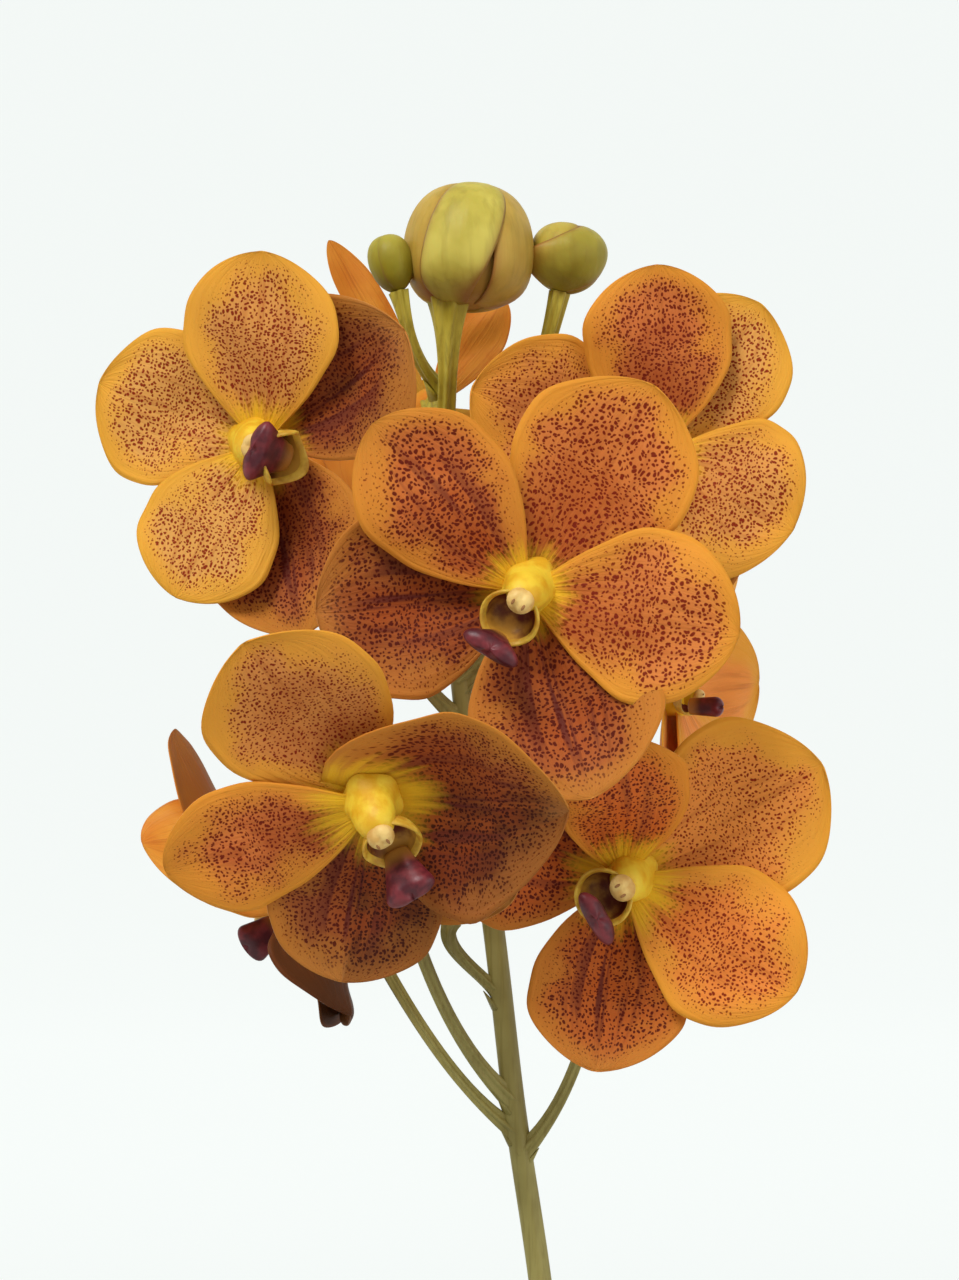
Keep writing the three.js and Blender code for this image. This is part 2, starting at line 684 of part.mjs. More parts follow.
const stemRoom = stemSolid(GAP);
const rootRoom = joined(ROOTS.map((points) => rootSolid(points, GAP)));
addPiece(plant, "pot", potSolid(), material(CLAY, 0.85));
addPiece(plant, "bark", barkSolid(stemRoom, rootRoom), material(BARK, 0.95));
addPiece(plant, "stem", stemSolid(0), material(STEM_GREEN, 0.6));
ROOTS.forEach((points, index) => {
  addPiece(plant, `root_${index + 1}`, rootSolid(points, 0).subtract(stemRoom), material(ROOT_GREY, 0.8));
});
for (let index = 0; index < LEAF_COUNT; index++) {
  const leaf = leafSolid(leafAt(index)).subtract(stemRoom);
  addPiece(plant, `leaf_${index + 1}`, leaf, material(LEAF_GREEN, 0.45));
}
addPiece(plant, "spike", spikeSolid(stemRoom), material(SPIKE_GREEN, 0.55));
BLOOMS.forEach((bloom, index) => addBloom(bloom, index + 1));
BUDS.forEach((bud, index) => addBud(bud, index + 1));

export default plant;
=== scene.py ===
import json
import math
import random

import bmesh
import bpy
import numpy as np
from mathutils import Matrix, Vector

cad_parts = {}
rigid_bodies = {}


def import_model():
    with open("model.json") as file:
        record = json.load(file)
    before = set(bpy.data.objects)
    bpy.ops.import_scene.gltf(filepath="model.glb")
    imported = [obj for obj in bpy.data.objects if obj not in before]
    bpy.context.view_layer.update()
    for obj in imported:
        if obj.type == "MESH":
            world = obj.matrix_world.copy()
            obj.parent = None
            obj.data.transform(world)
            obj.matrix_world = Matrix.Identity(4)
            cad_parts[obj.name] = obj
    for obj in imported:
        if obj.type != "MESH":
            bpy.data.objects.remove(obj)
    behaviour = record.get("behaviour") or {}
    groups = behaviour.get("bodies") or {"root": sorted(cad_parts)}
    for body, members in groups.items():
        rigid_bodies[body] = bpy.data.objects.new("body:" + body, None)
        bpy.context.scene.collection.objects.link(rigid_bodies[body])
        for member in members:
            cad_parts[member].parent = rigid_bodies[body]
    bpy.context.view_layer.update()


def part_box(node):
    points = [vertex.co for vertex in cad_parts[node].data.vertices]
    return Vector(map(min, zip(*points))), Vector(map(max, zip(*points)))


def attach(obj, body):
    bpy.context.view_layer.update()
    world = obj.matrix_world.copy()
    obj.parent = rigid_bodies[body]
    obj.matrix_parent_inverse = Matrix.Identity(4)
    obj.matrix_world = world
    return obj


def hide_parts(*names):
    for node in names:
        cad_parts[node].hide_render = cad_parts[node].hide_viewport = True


for start_object in list(bpy.data.objects):
    bpy.data.objects.remove(start_object)
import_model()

# The view: a long lens, level, straight at the flower head from the front.
EYE = (-0.004, -0.9, 0.462)
FOCAL_LENGTH = 120.2

bpy.ops.object.camera_add(location=EYE, rotation=(math.radians(90), 0, 0))
camera = bpy.context.object
camera.name = "camera"
camera.data.lens = FOCAL_LENGTH
camera.data.sensor_width = 36
camera.data.clip_end = 40
bpy.context.scene.camera = camera


# The studio: a wide round sweep of pale paper that glows softly, more behind the plant than in front of
# it, a large soft light from the upper left in front, and a weaker one from the right.
STUDIO_RADIUS = 6.0
SWEEP_RADIUS = 2.0
STUDIO_HEIGHT = 5.0
SWEEP_STEPS = 10
PAPER = "f4f8f6"
PAPER_GREY = "7c7e7d"
PAPER_GLOW = 0.82
FRONT_GLOW = 0.26
AIR_GLOW = 0.6
LIGHT_AIM = (0, 0, 0.4)


def colour(code):
    """The linear colour of a six-digit hex code."""
    shares = [int(code[i : i + 2], 16) / 255 for i in (0, 2, 4)]
    linear = [c / 12.92 if c <= 0.04045 else ((c + 0.055) / 1.055) ** 2.4 for c in shares]
    return (*linear, 1)


class Finish:
    """A material built up node by node. Its constants are set on the shader's own sockets."""

    def __init__(self, name, **constants):
        self.material = bpy.data.materials.new(name)
        self.material.use_nodes = True
        self.nodes = self.material.node_tree.nodes
        self.links = self.material.node_tree.links
        self.shader = self.nodes["Principled BSDF"]
        for socket, value in constants.items():
            self.shader.inputs[socket.replace("_", " ")].default_value = value

    def add(self, kind, inputs, output=0, **settings):
        """Adds a node, gives its inputs values or links, and returns one of its outputs."""
        node = self.nodes.new("ShaderNode" + kind)
        for name, value in settings.items():
            setattr(node, name, value)
        for name, value in inputs.items():
            if isinstance(value, bpy.types.NodeSocket):
                self.links.new(value, node.inputs[name])
            else:
                node.inputs[name].default_value = value
        return node.outputs[output]

    def place(self, uv_map=None):
        """Object coordinates, or a UV map of the piece."""
        if uv_map:
            return self.add("UVMap", {}, uv_map=uv_map)
        return self.add("TexCoord", {}, output="Object")

    def stretched(self, vector, scale):
        return self.add("Mapping", {"Vector": vector, "Scale": scale})

    def number(self, operation, first, second=0.0):
        return self.add("Math", {0: first, 1: second}, operation=operation)

    def plus(self, first, second):
        return self.number("ADD", first, second)

    def times(self, first, second):
        return self.number("MULTIPLY", first, second)

    def axis(self, vector, name):
        return self.add("SeparateXYZ", {"Vector": vector}, output=name)

    def ease(self, value, low, high, start=0.0, end=1.0):
        """Runs smoothly from start to end as the value goes from low to high."""
        inputs = {"Value": value, 1: low, 2: high, 3: start, 4: end}
        return self.add("MapRange", inputs, interpolation_type="SMOOTHSTEP")

    def noise(self, vector, scale, detail, roughness=0.5):
        inputs = {"Vector": vector, "Scale": scale, "Detail": detail, "Roughness": roughness}
        return self.add("TexNoise", inputs)

    def share(self, name):
        """A number that the mesh carries at each of its points."""
        return self.add("Attribute", {}, output="Fac", attribute_name=name)

    def mix(self, share, first, second):
        """The first colour where the share is 0, the second where it is 1."""
        first = colour(first) if isinstance(first, str) else first
        second = colour(second) if isinstance(second, str) else second
        inputs = {0: share, 6: first, 7: second}
        return self.add("Mix", inputs, output=2, data_type="RGBA")

    def mottle(self, cloud, first, second):
        """Two colours in soft patches."""
        return self.mix(self.ease(cloud, 0.35, 0.65), first, second)

    def paint(self, base):
        self.links.new(base, self.shader.inputs["Base Color"])
        return self.material

    def relief(self, height, depth):
        """Small relief of the surface, its height in metres."""
        bump = self.add("Bump", {"Height": height, "Distance": depth, "Strength": 1.0})
        self.links.new(bump, self.shader.inputs["Normal"])


def paper_finish():
    finish = Finish("studio_paper", Roughness=0.9)
    finish.shader.inputs["Base Color"].default_value = colour(PAPER_GREY)
    finish.shader.inputs["Emission Color"].default_value = colour(PAPER)
    depth = finish.axis(finish.place(), "Y")
    glow = finish.ease(depth, -4.0, 3.0, FRONT_GLOW, PAPER_GLOW)
    finish.links.new(glow, finish.shader.inputs["Emission Strength"])
    return finish.material


def soft_light(name, place, size, power):
    bpy.ops.object.light_add(type="AREA", location=place)
    light = bpy.context.object
    light.name = name
    light.data.shape = "DISK"
    light.data.size = size
    light.data.energy = power
    light.rotation_euler = (Vector(LIGHT_AIM) - Vector(place)).to_track_quat("-Z", "Y").to_euler()


bpy.ops.object.select_all(action="DESELECT")
bpy.ops.mesh.primitive_circle_add(vertices=96, radius=STUDIO_RADIUS - SWEEP_RADIUS, fill_type="NGON")
studio = bpy.context.object
studio.name = "studio"
bpy.ops.object.mode_set(mode="EDIT")
for step in range(1, SWEEP_STEPS + 1):
    turn = math.pi / 2 * step / SWEEP_STEPS
    before = math.pi / 2 * (step - 1) / SWEEP_STEPS
    reach = [STUDIO_RADIUS - SWEEP_RADIUS + SWEEP_RADIUS * math.sin(a) for a in (before, turn)]
    rise = SWEEP_RADIUS * (math.cos(before) - math.cos(turn))
    bpy.ops.mesh.select_mode(type="EDGE")
    bpy.ops.mesh.select_all(action="SELECT")
    bpy.ops.mesh.region_to_loop()
    bpy.ops.mesh.extrude_region_move(TRANSFORM_OT_translate={"value": (0, 0, rise)})
    grow = reach[1] / reach[0]
    bpy.ops.transform.resize(value=(grow, grow, 1), center_override=(0, 0, 0))
bpy.ops.mesh.extrude_region_move(TRANSFORM_OT_translate={"value": (0, 0, STUDIO_HEIGHT - SWEEP_RADIUS)})
bpy.ops.object.mode_set(mode="OBJECT")
bpy.ops.object.shade_smooth()
studio.data.materials.append(paper_finish())

soft_light("key_light", place=(-0.9, -1.5, 2.4), size=1.0, power=50)
soft_light("fill_light", place=(1.7, -1.4, 0.9), size=1.6, power=12)
world = bpy.data.worlds.new("studio_air")
world.use_nodes = True
world.node_tree.nodes["Background"].inputs["Color"].default_value = colour(PAPER)
world.node_tree.nodes["Background"].inputs["Strength"].default_value = AIR_GLOW
bpy.context.scene.world = world
bpy.context.scene.view_settings.view_transform = "Standard"


# The clay pot: thrown unglazed terracotta with faint throwing rings, a thick rolled rim and four drain
# holes. It is drawn up ring by ring from its foot, over the rim and down to its floor inside.
POT_BASE = 0.048
POT_WALL = 0.006
POT_FLOOR = 0.008
RIM_HEIGHT = 0.022
RIM_PROUD = 0.004
RIM_STEP = 0.0015
MOUTH_ROUND = (0.0015, 0.0025)
RING_DEPTH = 0.00018
RING_SPACING = 0.0045
EDGE_ROUND = 0.0006
DISC_THICK = 0.0004
DRAIN_RADIUS = 0.005
DRAIN_CIRCLE = 0.024
DRAIN_COUNT = 4

# The outer edge of the rim: how far in from its widest, and how far down from its top.
RIM_ROUND = [(0.0006, 0.004), (0.0006, 0.0012), (0.002, 0)]


def start_ring(radius, height, sides):
    """Adds a thin disc about the Z axis and leaves its top face selected in edit mode."""
    bpy.ops.object.select_all(action="DESELECT")
    bpy.ops.mesh.primitive_cylinder_add(vertices=sides, radius=radius, depth=DISC_THICK)
    disc = bpy.context.object
    disc.data.transform(Matrix.Translation((0, 0, height + DISC_THICK / 2)))
    bpy.ops.object.mode_set(mode="EDIT")
    bpy.ops.mesh.select_mode(type="FACE")
    bpy.ops.mesh.select_all(action="DESELECT")
    body = bmesh.from_edit_mesh(disc.data)
    top = max(body.faces, key=lambda face: face.calc_center_median().z)
    top.select_set(True)
    body.faces.active = top
    bmesh.update_edit_mesh(disc.data)
    return disc


def draw_up(piece, radius, height):
    """Extrudes the selected face to a height and sizes it to a radius about the Z axis."""
    body = bmesh.from_edit_mesh(piece.data)
    corner = next(v for v in body.verts if v.select).co
    grow = radius / math.hypot(corner.x, corner.y)
    bpy.ops.mesh.extrude_region_move(TRANSFORM_OT_translate={"value": (0, 0, height - corner.z)})
    bpy.ops.transform.resize(value=(grow, grow, 1), center_override=(0, 0, height))


def round_edges(piece, width, segments, angle):
    """Bevels the edges that are sharper than an angle, and shades the rest smooth."""
    bevel = piece.modifiers.new("round_edges", "BEVEL")
    bevel.width = width
    bevel.segments = segments
    bevel.angle_limit = math.radians(angle)
    bpy.context.view_layer.objects.active = piece
    bpy.ops.object.modifier_apply(modifier=bevel.name)
    piece.select_set(True)
    bpy.ops.object.shade_smooth_by_angle(angle=math.radians(angle))


def show(piece, name, slot, *nodes):
    """Names a finished piece, hangs it on the plant's body, and hides the parts of the model that it stands
    for. Its slot is not used.
    """
    piece.name = name
    piece.data.name = name
    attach(piece, "root")
    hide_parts(*nodes)


def clay_finish():
    finish = Finish("terracotta", Roughness=0.86)
    place = finish.place()
    cloud = finish.noise(place, 22, 4)
    grain = finish.noise(place, 900, 2)
    height = finish.axis(place, "Z")
    clay = finish.mix(finish.ease(cloud, 0.3, 0.7), "a85532", "c4764b")
    clay = finish.mix(finish.ease(grain, 0.52, 0.72, 0, 0.35), clay, "8a4428")
    chalk = finish.times(finish.ease(height, 0.0, 0.045, 1, 0), finish.ease(cloud, 0.42, 0.62))
    clay = finish.mix(finish.times(chalk, 0.45), clay, "d9c3ac")
    damp = finish.times(finish.ease(height, 0.06, 0.1), finish.ease(cloud, 0.5, 0.7, 0.1, 0.4))
    clay = finish.mix(damp, clay, "7f3f27")
    finish.relief(grain, 0.0003)
    return finish.paint(clay)


pot_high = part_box("pot")[1]
pot_height = pot_high.z
mouth = pot_high.x - RIM_PROUD
shoulder = pot_height - RIM_HEIGHT


def pot_radius(height):
    return POT_BASE + (mouth - POT_BASE) * height / pot_height


pot = start_ring(POT_BASE, 0, 96)
rings = int(shoulder / RING_SPACING)
for ring in range(1, rings + 1):
    height = shoulder * ring / rings
    draw_up(pot, pot_radius(height) + RING_DEPTH * (-1) ** ring, height)
draw_up(pot, pot_radius(shoulder) + RIM_PROUD, shoulder + RIM_STEP)
for inward, down in RIM_ROUND:
    draw_up(pot, pot_high.x - inward, pot_height - down)
draw_up(pot, mouth - POT_WALL + MOUTH_ROUND[0], pot_height)
draw_up(pot, mouth - POT_WALL, pot_height - MOUTH_ROUND[1])
for ring in range(rings - 1, 0, -1):
    height = POT_FLOOR + (pot_height - POT_FLOOR) * ring / rings
    draw_up(pot, pot_radius(height) - POT_WALL, height)
draw_up(pot, POT_BASE - POT_WALL, POT_FLOOR)
bpy.ops.object.mode_set(mode="OBJECT")
for hole in range(DRAIN_COUNT):
    turn = 2 * math.pi * (hole + 0.5) / DRAIN_COUNT
    centre = (DRAIN_CIRCLE * math.cos(turn), DRAIN_CIRCLE * math.sin(turn), POT_FLOOR / 2)
    depth = 3 * POT_FLOOR
    bpy.ops.mesh.primitive_cylinder_add(vertices=24, radius=DRAIN_RADIUS, depth=depth, location=centre)
    drill = bpy.context.object
    cut = pot.modifiers.new("drain_hole", "BOOLEAN")
    cut.object = drill
    bpy.context.view_layer.objects.active = pot
    bpy.ops.object.modifier_apply(modifier=cut.name)
    bpy.data.objects.remove(drill)
bpy.ops.object.select_all(action="DESELECT")
round_edges(pot, EDGE_ROUND, segments=2, angle=35)
pot.data.materials.append(clay_finish())
show(pot, "clay_pot", "clay", "pot")


# The bark: coarse chips that fill the pot, flaky and brown, tumbled over a dark bed. Three chips are split
# from blocks, and the rest are copies of them in other sizes and turns.
BED_DEPTH = 0.014
BED_THICK = 0.006
BED_BEVEL = 0.003
CROWN_SHARE = 0.6
CROWN_HEIGHT = 0.002
PILE_HEIGHT = 0.0095
CHIP_KINDS = 3
CHIP_COUNT = 330
CHIP_LENGTH = (0.009, 0.022)
CHIP_WIDTH = (0.5, 0.8)
CHIP_THICK = (0.22, 0.45)
CHIP_TILT = 0.4
CHIP_ROUGHNESS = 0.13
BARK_ROOM = 0.0015
STEM_ROOM = 0.008


def bark_finish():
    finish = Finish("bark_chips", Roughness=0.9)
    place = finish.place()
    tone = finish.share("tone")
    fibre = finish.noise(finish.stretched(place, (1, 1, 3.5)), 420, 4, 0.6)
    flake = finish.noise(place, 150, 3)
    bark = finish.mix(tone, "3f2718", "8a5a38")
    bark = finish.mix(finish.ease(fibre, 0.4, 0.66, 0, 0.75), bark, "2a1810")
    bark = finish.mix(finish.ease(flake, 0.56, 0.7, 0, 0.5), bark, "a87a52")
    finish.relief(fibre, 0.0012)
    return finish.paint(bark)


def mark_points(mesh, name, values):
    """Gives each point of a mesh a number that its material reads."""
    mark = mesh.attributes.new(name, "FLOAT", "POINT")
    mark.data.foreach_set("value", np.broadcast_to(values, len(mesh.vertices)).astype(np.float32))


def join_pieces(pieces):
    """Joins meshes into the first of them."""
    bpy.ops.object.select_all(action="DESELECT")
    for piece in pieces:
        piece.select_set(True)
    bpy.context.view_layer.objects.active = pieces[0]
    if len(pieces) > 1:
        bpy.ops.object.join()
    return pieces[0]


def split_chip(kind):
    bpy.ops.object.select_all(action="DESELECT")
    bpy.ops.mesh.primitive_cube_add(size=1)
    chip = bpy.context.object
    bpy.ops.object.mode_set(mode="EDIT")
    bpy.ops.mesh.subdivide(number_cuts=2)
    bpy.ops.transform.vertex_random(offset=CHIP_ROUGHNESS, uniform=1, normal=0, seed=kind + 5)
    bpy.ops.object.mode_set(mode="OBJECT")
    return chip


draw = random.Random(21)
bed_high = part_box("bark")[1]
bed_radius = bed_high.x - BARK_ROOM
bed_level = bed_high.z - BED_DEPTH
bed = start_ring(bed_radius - BED_BEVEL, bed_level - BED_THICK, 64)
draw_up(bed, bed_radius, bed_level)
draw_up(bed, bed_radius * CROWN_SHARE, bed_level + CROWN_HEIGHT)
bpy.ops.object.mode_set(mode="OBJECT")
mark_points(bed.data, "tone", 0.0)
chip_kinds = [split_chip(kind) for kind in range(CHIP_KINDS)]
chips = [bed]
for number in range(CHIP_COUNT):
    chip = chip_kinds[number % CHIP_KINDS].copy()
    chip.data = chip.data.copy()
    bpy.context.collection.objects.link(chip)
    length = draw.uniform(*CHIP_LENGTH)
    width = length * draw.uniform(*CHIP_WIDTH)
    size = Matrix.Diagonal((length, width, length * draw.uniform(*CHIP_THICK), 1))
    away = math.sqrt(draw.uniform((STEM_ROOM / bed_radius) ** 2, 1)) * (bed_radius - length * 0.55)
    turn = draw.uniform(0, 2 * math.pi)
    rise = bed_level + draw.uniform(0.0, PILE_HEIGHT) * (1.15 - away / bed_radius)
    tilt = Matrix.Rotation(draw.gauss(0, CHIP_TILT), 4, "X")
    tilt = tilt @ Matrix.Rotation(draw.gauss(0, CHIP_TILT), 4, "Y")
    spin = Matrix.Rotation(draw.uniform(0, math.pi), 4, "Z")
    spot = Matrix.Translation((away * math.cos(turn), away * math.sin(turn), rise))
    chip.data.transform(spot @ spin @ tilt @ size)
    mark_points(chip.data, "tone", draw.random())
    chips.append(chip)
for kind in chip_kinds:
    bpy.data.objects.remove(kind)
bark = join_pieces(chips)
bpy.ops.object.shade_smooth_by_angle(angle=math.radians(28))
bark.data.materials.append(bark_finish())
show(bark, "bark_chips", "bark", "bark")


# The stem: upright, slightly flattened, wrapped in the stepped sheaths of old and living leaves, and
# closed at its top by the growing point. Dry brown fibre shows at the edge of each sheath.
STEM_RADIUS = 0.008
STEM_FLATTENING = 0.86
SHEATH_COUNT = 22
SHEATH_FLARE = 0.001
SHEATH_TUCK = 0.4
SHEATH_RINGS = 5
GROWTH_SHARE = 0.84
GROWING_POINT = [(0.0036, 0.002), (0.0026, 0.004), (0.0012, 0.006)]


def stem_finish():
    finish = Finish("leafy_stem", Roughness=0.6)
    place = finish.place()
    height = finish.axis(place, "Z")
    edge = finish.share("sheath_edge")
    fibre = finish.noise(finish.stretched(place, (1, 1, 0.06)), 1500, 3)
    cloud = finish.noise(place, 90, 3)
    green = finish.mottle(fibre, "5f7a34", "7e9350")
    dry = finish.mottle(fibre, "7a6242", "a58d66")
    uneven_height = finish.plus(height, finish.times(cloud, 0.05))
    age = finish.ease(uneven_height, 0.13, 0.185, 1, 0)
    skin = finish.mix(age, green, dry)
    skin = finish.mix(finish.times(edge, 0.85), skin, "4a3520")
    finish.relief(fibre, 0.0005)
    return finish.paint(skin)


def get_points(mesh):
    """The places of a mesh's points, a row for each."""
    flat = np.zeros(len(mesh.vertices) * 3)
    mesh.vertices.foreach_get("co", flat)
    return flat.reshape(-1, 3)


stem_low, stem_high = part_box("stem")
stem_length = stem_high.z - stem_low.z
stem = start_ring(STEM_RADIUS, stem_low.z, 40)
for sheath in range(SHEATH_COUNT):
    for ring in range(1, SHEATH_RINGS + 1):
        share = ring / SHEATH_RINGS
        flare = SHEATH_FLARE * (share**2 if ring < SHEATH_RINGS else -SHEATH_TUCK)
        height = stem_low.z + stem_length * (sheath + share) / SHEATH_COUNT
        grown = ((sheath + share) / SHEATH_COUNT - GROWTH_SHARE) / (1 - GROWTH_SHARE)
        taper = 1 - 0.5 * max(0.0, grown) ** 1.5
        draw_up(stem, (STEM_RADIUS + flare) * taper, height)
for radius, rise in GROWING_POINT:
    draw_up(stem, radius, stem_high.z + rise)
bpy.ops.object.mode_set(mode="OBJECT")
stem.data.transform(Matrix.Diagonal((1, STEM_FLATTENING, 1, 1)))
sheath_share = (get_points(stem.data)[:, 2] - stem_low.z) / stem_length * SHEATH_COUNT % 1
mark_points(stem.data, "sheath_edge", np.clip((sheath_share - 0.7) / 0.3, 0, 1) ** 2)
bpy.ops.object.select_all(action="DESELECT")
stem.select_set(True)
bpy.ops.object.shade_smooth_by_angle(angle=math.radians(50))
stem.data.materials.append(stem_finish())
show(stem, "sheathed_stem", "stem", "stem")


# The aerial roots: round, chalky silver-green, wrinkled along their length, with green growing tips. Two
# arch over the rim and hang, and three go down into the bark. Each is a curve with a round section.
MM = 0.001
ROOT_RADIUS = 2.8 * MM
ROOT_STEPS = 70
ROOTS = [
    [(3, -4, 118), (24, -14, 128), (56, -30, 128), (79, -41, 108), (84, -45, 74), (80, -50, 46)],
    [(-3, 4, 122), (-26, 16, 134), (-58, 30, 130), (-80, 38, 104), (-84, 42, 78)],
    [(-2, -4, 112), (-14, -18, 121), (-30, -30, 114), (-36, -36, 88)],
    [(4, 3, 114), (20, 12, 122), (34, 24, 112), (38, 30, 86)],
    [(2, -4, 110), (12, -22, 117), (20, -38, 108), (20, -42, 84)],
]


def smooth_line(corners, steps):
    """Evenly spaced points of a centripetal Catmull-Rom curve through some corners."""
    corners = [np.array(c, float) for c in corners]
    ends = [2 * corners[0] - corners[1], *corners, 2 * corners[-1] - corners[-2]]
    points = []
    for a, b, c, d in zip(ends, ends[1:], ends[2:], ends[3:]):
        before, middle, after = [math.sqrt(np.linalg.norm(q - p)) for p, q in ((a, b), (b, c), (c, d))]
        leave = ((b - a) / before - (c - a) / (before + middle) + (c - b) / middle) * middle
        arrive = ((c - b) / middle - (d - b) / (middle + after) + (d - c) / after) * middle
        for t in np.arange(40) / 40:
            bend = (-3 * b + 3 * c - 2 * leave - arrive) * t**2 + (2 * b - 2 * c + leave + arrive) * t**3
            points.append(b + leave * t + bend)
    points = np.array([*points, corners[-1]])
    run = np.concatenate([[0], np.cumsum(np.linalg.norm(np.diff(points, axis=0), axis=1))])
    even = np.linspace(0, run[-1], steps + 1)
    return np.stack([np.interp(even, run, points[:, axis]) for axis in range(3)], axis=1)


def rod(name, points, radii, section, twist=0.0):
    """A rod with closed ends along some points in metres, from a section curve that its radii scale."""
    line = bpy.data.curves.new(name, "CURVE")
    line.dimensions = "3D"
    line.bevel_mode = "OBJECT"
    line.bevel_object = section
    line.use_fill_caps = True
    spline = line.splines.new("POLY")
    spline.points.add(len(points) - 1)
    for index, (point, point_radius) in enumerate(zip(points, radii)):
        spline.points[index].co = (*point, 1)
        spline.points[index].radius = point_radius
        spline.points[index].tilt = twist * index / len(points)
    rod_piece = bpy.data.objects.new(name, line)
    bpy.context.collection.objects.link(rod_piece)
    bpy.ops.object.select_all(action="DESELECT")
    rod_piece.select_set(True)
    bpy.context.view_layer.objects.active = rod_piece
    bpy.ops.object.convert(target="MESH")
    rod_piece = bpy.context.object
    bpy.ops.object.mode_set(mode="EDIT")
    bpy.ops.mesh.select_all(action="SELECT")
    bpy.ops.mesh.remove_doubles(threshold=0.00001)
    bpy.ops.mesh.normals_make_consistent(inside=False)
    bpy.ops.object.mode_set(mode="OBJECT")
    bpy.ops.object.shade_smooth_by_angle(angle=math.radians(60))
    return rod_piece


def section_curve(name, sides, lobes, depth):
    """A closed section of radius 1 metre, with some rounded ribs."""
    curve = bpy.data.curves.new(name, "CURVE")
    curve.dimensions = "2D"
    spline = curve.splines.new("POLY")
    spline.points.add(sides - 1)
    spline.use_cyclic_u = True
    for index in range(sides):
        turn = 2 * math.pi * index / sides
        reach = 1 - depth * (0.5 - 0.5 * math.cos(lobes * turn))
        spline.points[index].co = (reach * math.cos(turn), reach * math.sin(turn), 0, 1)
    section = bpy.data.objects.new(name, curve)
    bpy.context.collection.objects.link(section)
    return section


def root_finish():
    finish = Finish("aerial_root", Roughness=0.82)
    place = finish.place()
    along = finish.share("along")
    cloud = finish.noise(place, 130, 4)
    wrinkle = finish.noise(place, 700, 3)
    skin = finish.mottle(cloud, "a9ad95", "cfd1c2")
    skin = finish.mix(finish.ease(wrinkle, 0.5, 0.7, 0, 0.5), skin, "8a9072")
    skin = finish.mix(finish.ease(along, 0.9, 0.95), skin, "7f9a4a")
    finish.relief(wrinkle, 0.0005)
    return finish.paint(skin)


root_skin = root_finish()
round_section = section_curve("round_section", sides=20, lobes=1, depth=0.0)
for number, corners in enumerate(ROOTS, 1):
    points = smooth_line(corners, ROOT_STEPS) * MM
    shares = np.linspace(0, 1, ROOT_STEPS + 1)
    swell = 1 + 0.05 * np.sin(shares * 31 + number) + 0.03 * np.sin(shares * 57 + 2 * number)
    tip = np.sqrt(np.clip((1 - shares) / 0.02, 0.04, 1))
    radii = ROOT_RADIUS * (1 - 0.15 * shares) * swell * tip
    root = rod(f"root_{number}", points, radii, round_section)
    away = np.linalg.norm(get_points(root.data)[:, None] - points[None], axis=2)
    nearest = np.argmin(away, axis=1)
    mark_points(root.data, "along", nearest / ROOT_STEPS)
    root.data.materials.append(root_skin)
    show(root, f"aerial_root_{number}", "root", f"root_{number}")


# The strap leaves: thick, leathery and folded along the middle, left and right in turn up the stem, with
# unevenly bitten tips. Each is a grid bent to its arch, and gets its thickness afterwards.
# From here on lengths are in millimetres, and turns are in degrees where nothing else is said.
LEAF_COUNT = 8
FIRST_LEAF = 128
LEAF_SPACING = 10.5
LEAF_THICK = 2
LEAF_SEAT = 2
LEAF_BASE_SHARE = 0.62
LEAF_GRID = (26, 90)
OLDEST_LEAF = {"length": 205, "width": 31, "rise": 38, "droop": 74}
YOUNGEST_LEAF = {"length": 110, "width": 25, "rise": 64, "droop": 60}
TIP_BITES = [0.056, 0.018, 0.053, 0.0, 0.056]


def leaf_finish():
    finish = Finish("strap_leaf", Roughness=0.36, Coat_Weight=0.12, Coat_Roughness=0.3)
    marks = finish.place("blade")
    along = finish.share("along")
    across = finish.share("across")
    veins = finish.noise(finish.stretched(marks, (2.2, 0.02, 1)), 1.0, 3)
    cloud = finish.noise(marks, 0.035, 4)
    leaf = finish.mottle(cloud, "4b6a26", "6a8736")
    leaf = finish.mix(finish.ease(veins, 0.42, 0.62, 0, 0.4), leaf, "37531d")
    middle = finish.ease(finish.number("ABSOLUTE", across), 0.0, 0.07, 0.6, 0)
    leaf = finish.mix(middle, leaf, "93a85a")
    pale = finish.ease(along, 0.0, 0.16, 0.55, 0)
    leaf = finish.mix(pale, leaf, "9aa860")
    worn = finish.times(finish.ease(along, 0.93, 1.0), finish.ease(cloud, 0.3, 0.6))
    leaf = finish.mix(worn, leaf, "8d7a3c")
    finish.relief(veins, 0.00035)
    return finish.paint(leaf)


def add_grid(columns, rows):
    """Adds a flat grid, and returns it with its points' shares across (-1 to 1) and along (0 to 1)."""
    bpy.ops.object.select_all(action="DESELECT")
    bpy.ops.mesh.primitive_grid_add(x_subdivisions=columns, y_subdivisions=rows, size=1)
    grid = bpy.context.object
    flat = get_points(grid.data)
    return grid, 2 * flat[:, 0], flat[:, 1] + 0.5


def set_points(mesh, points):
    mesh.vertices.foreach_set("co", np.asarray(points, np.float32).ravel())


def shape_grid(grid, points, marks, map_name):
    """Moves a grid's points, in metres, and writes a pair of marks for each into its UV map."""
    set_points(grid.data, points)
    corners = np.zeros(len(grid.data.loops), int)
    grid.data.loops.foreach_get("vertex_index", corners)
    grid.data.uv_layers[0].name = map_name
    grid.data.uv_layers[0].data.foreach_set("uv", np.asarray(marks, np.float32)[corners].ravel())
    grid.data.update()


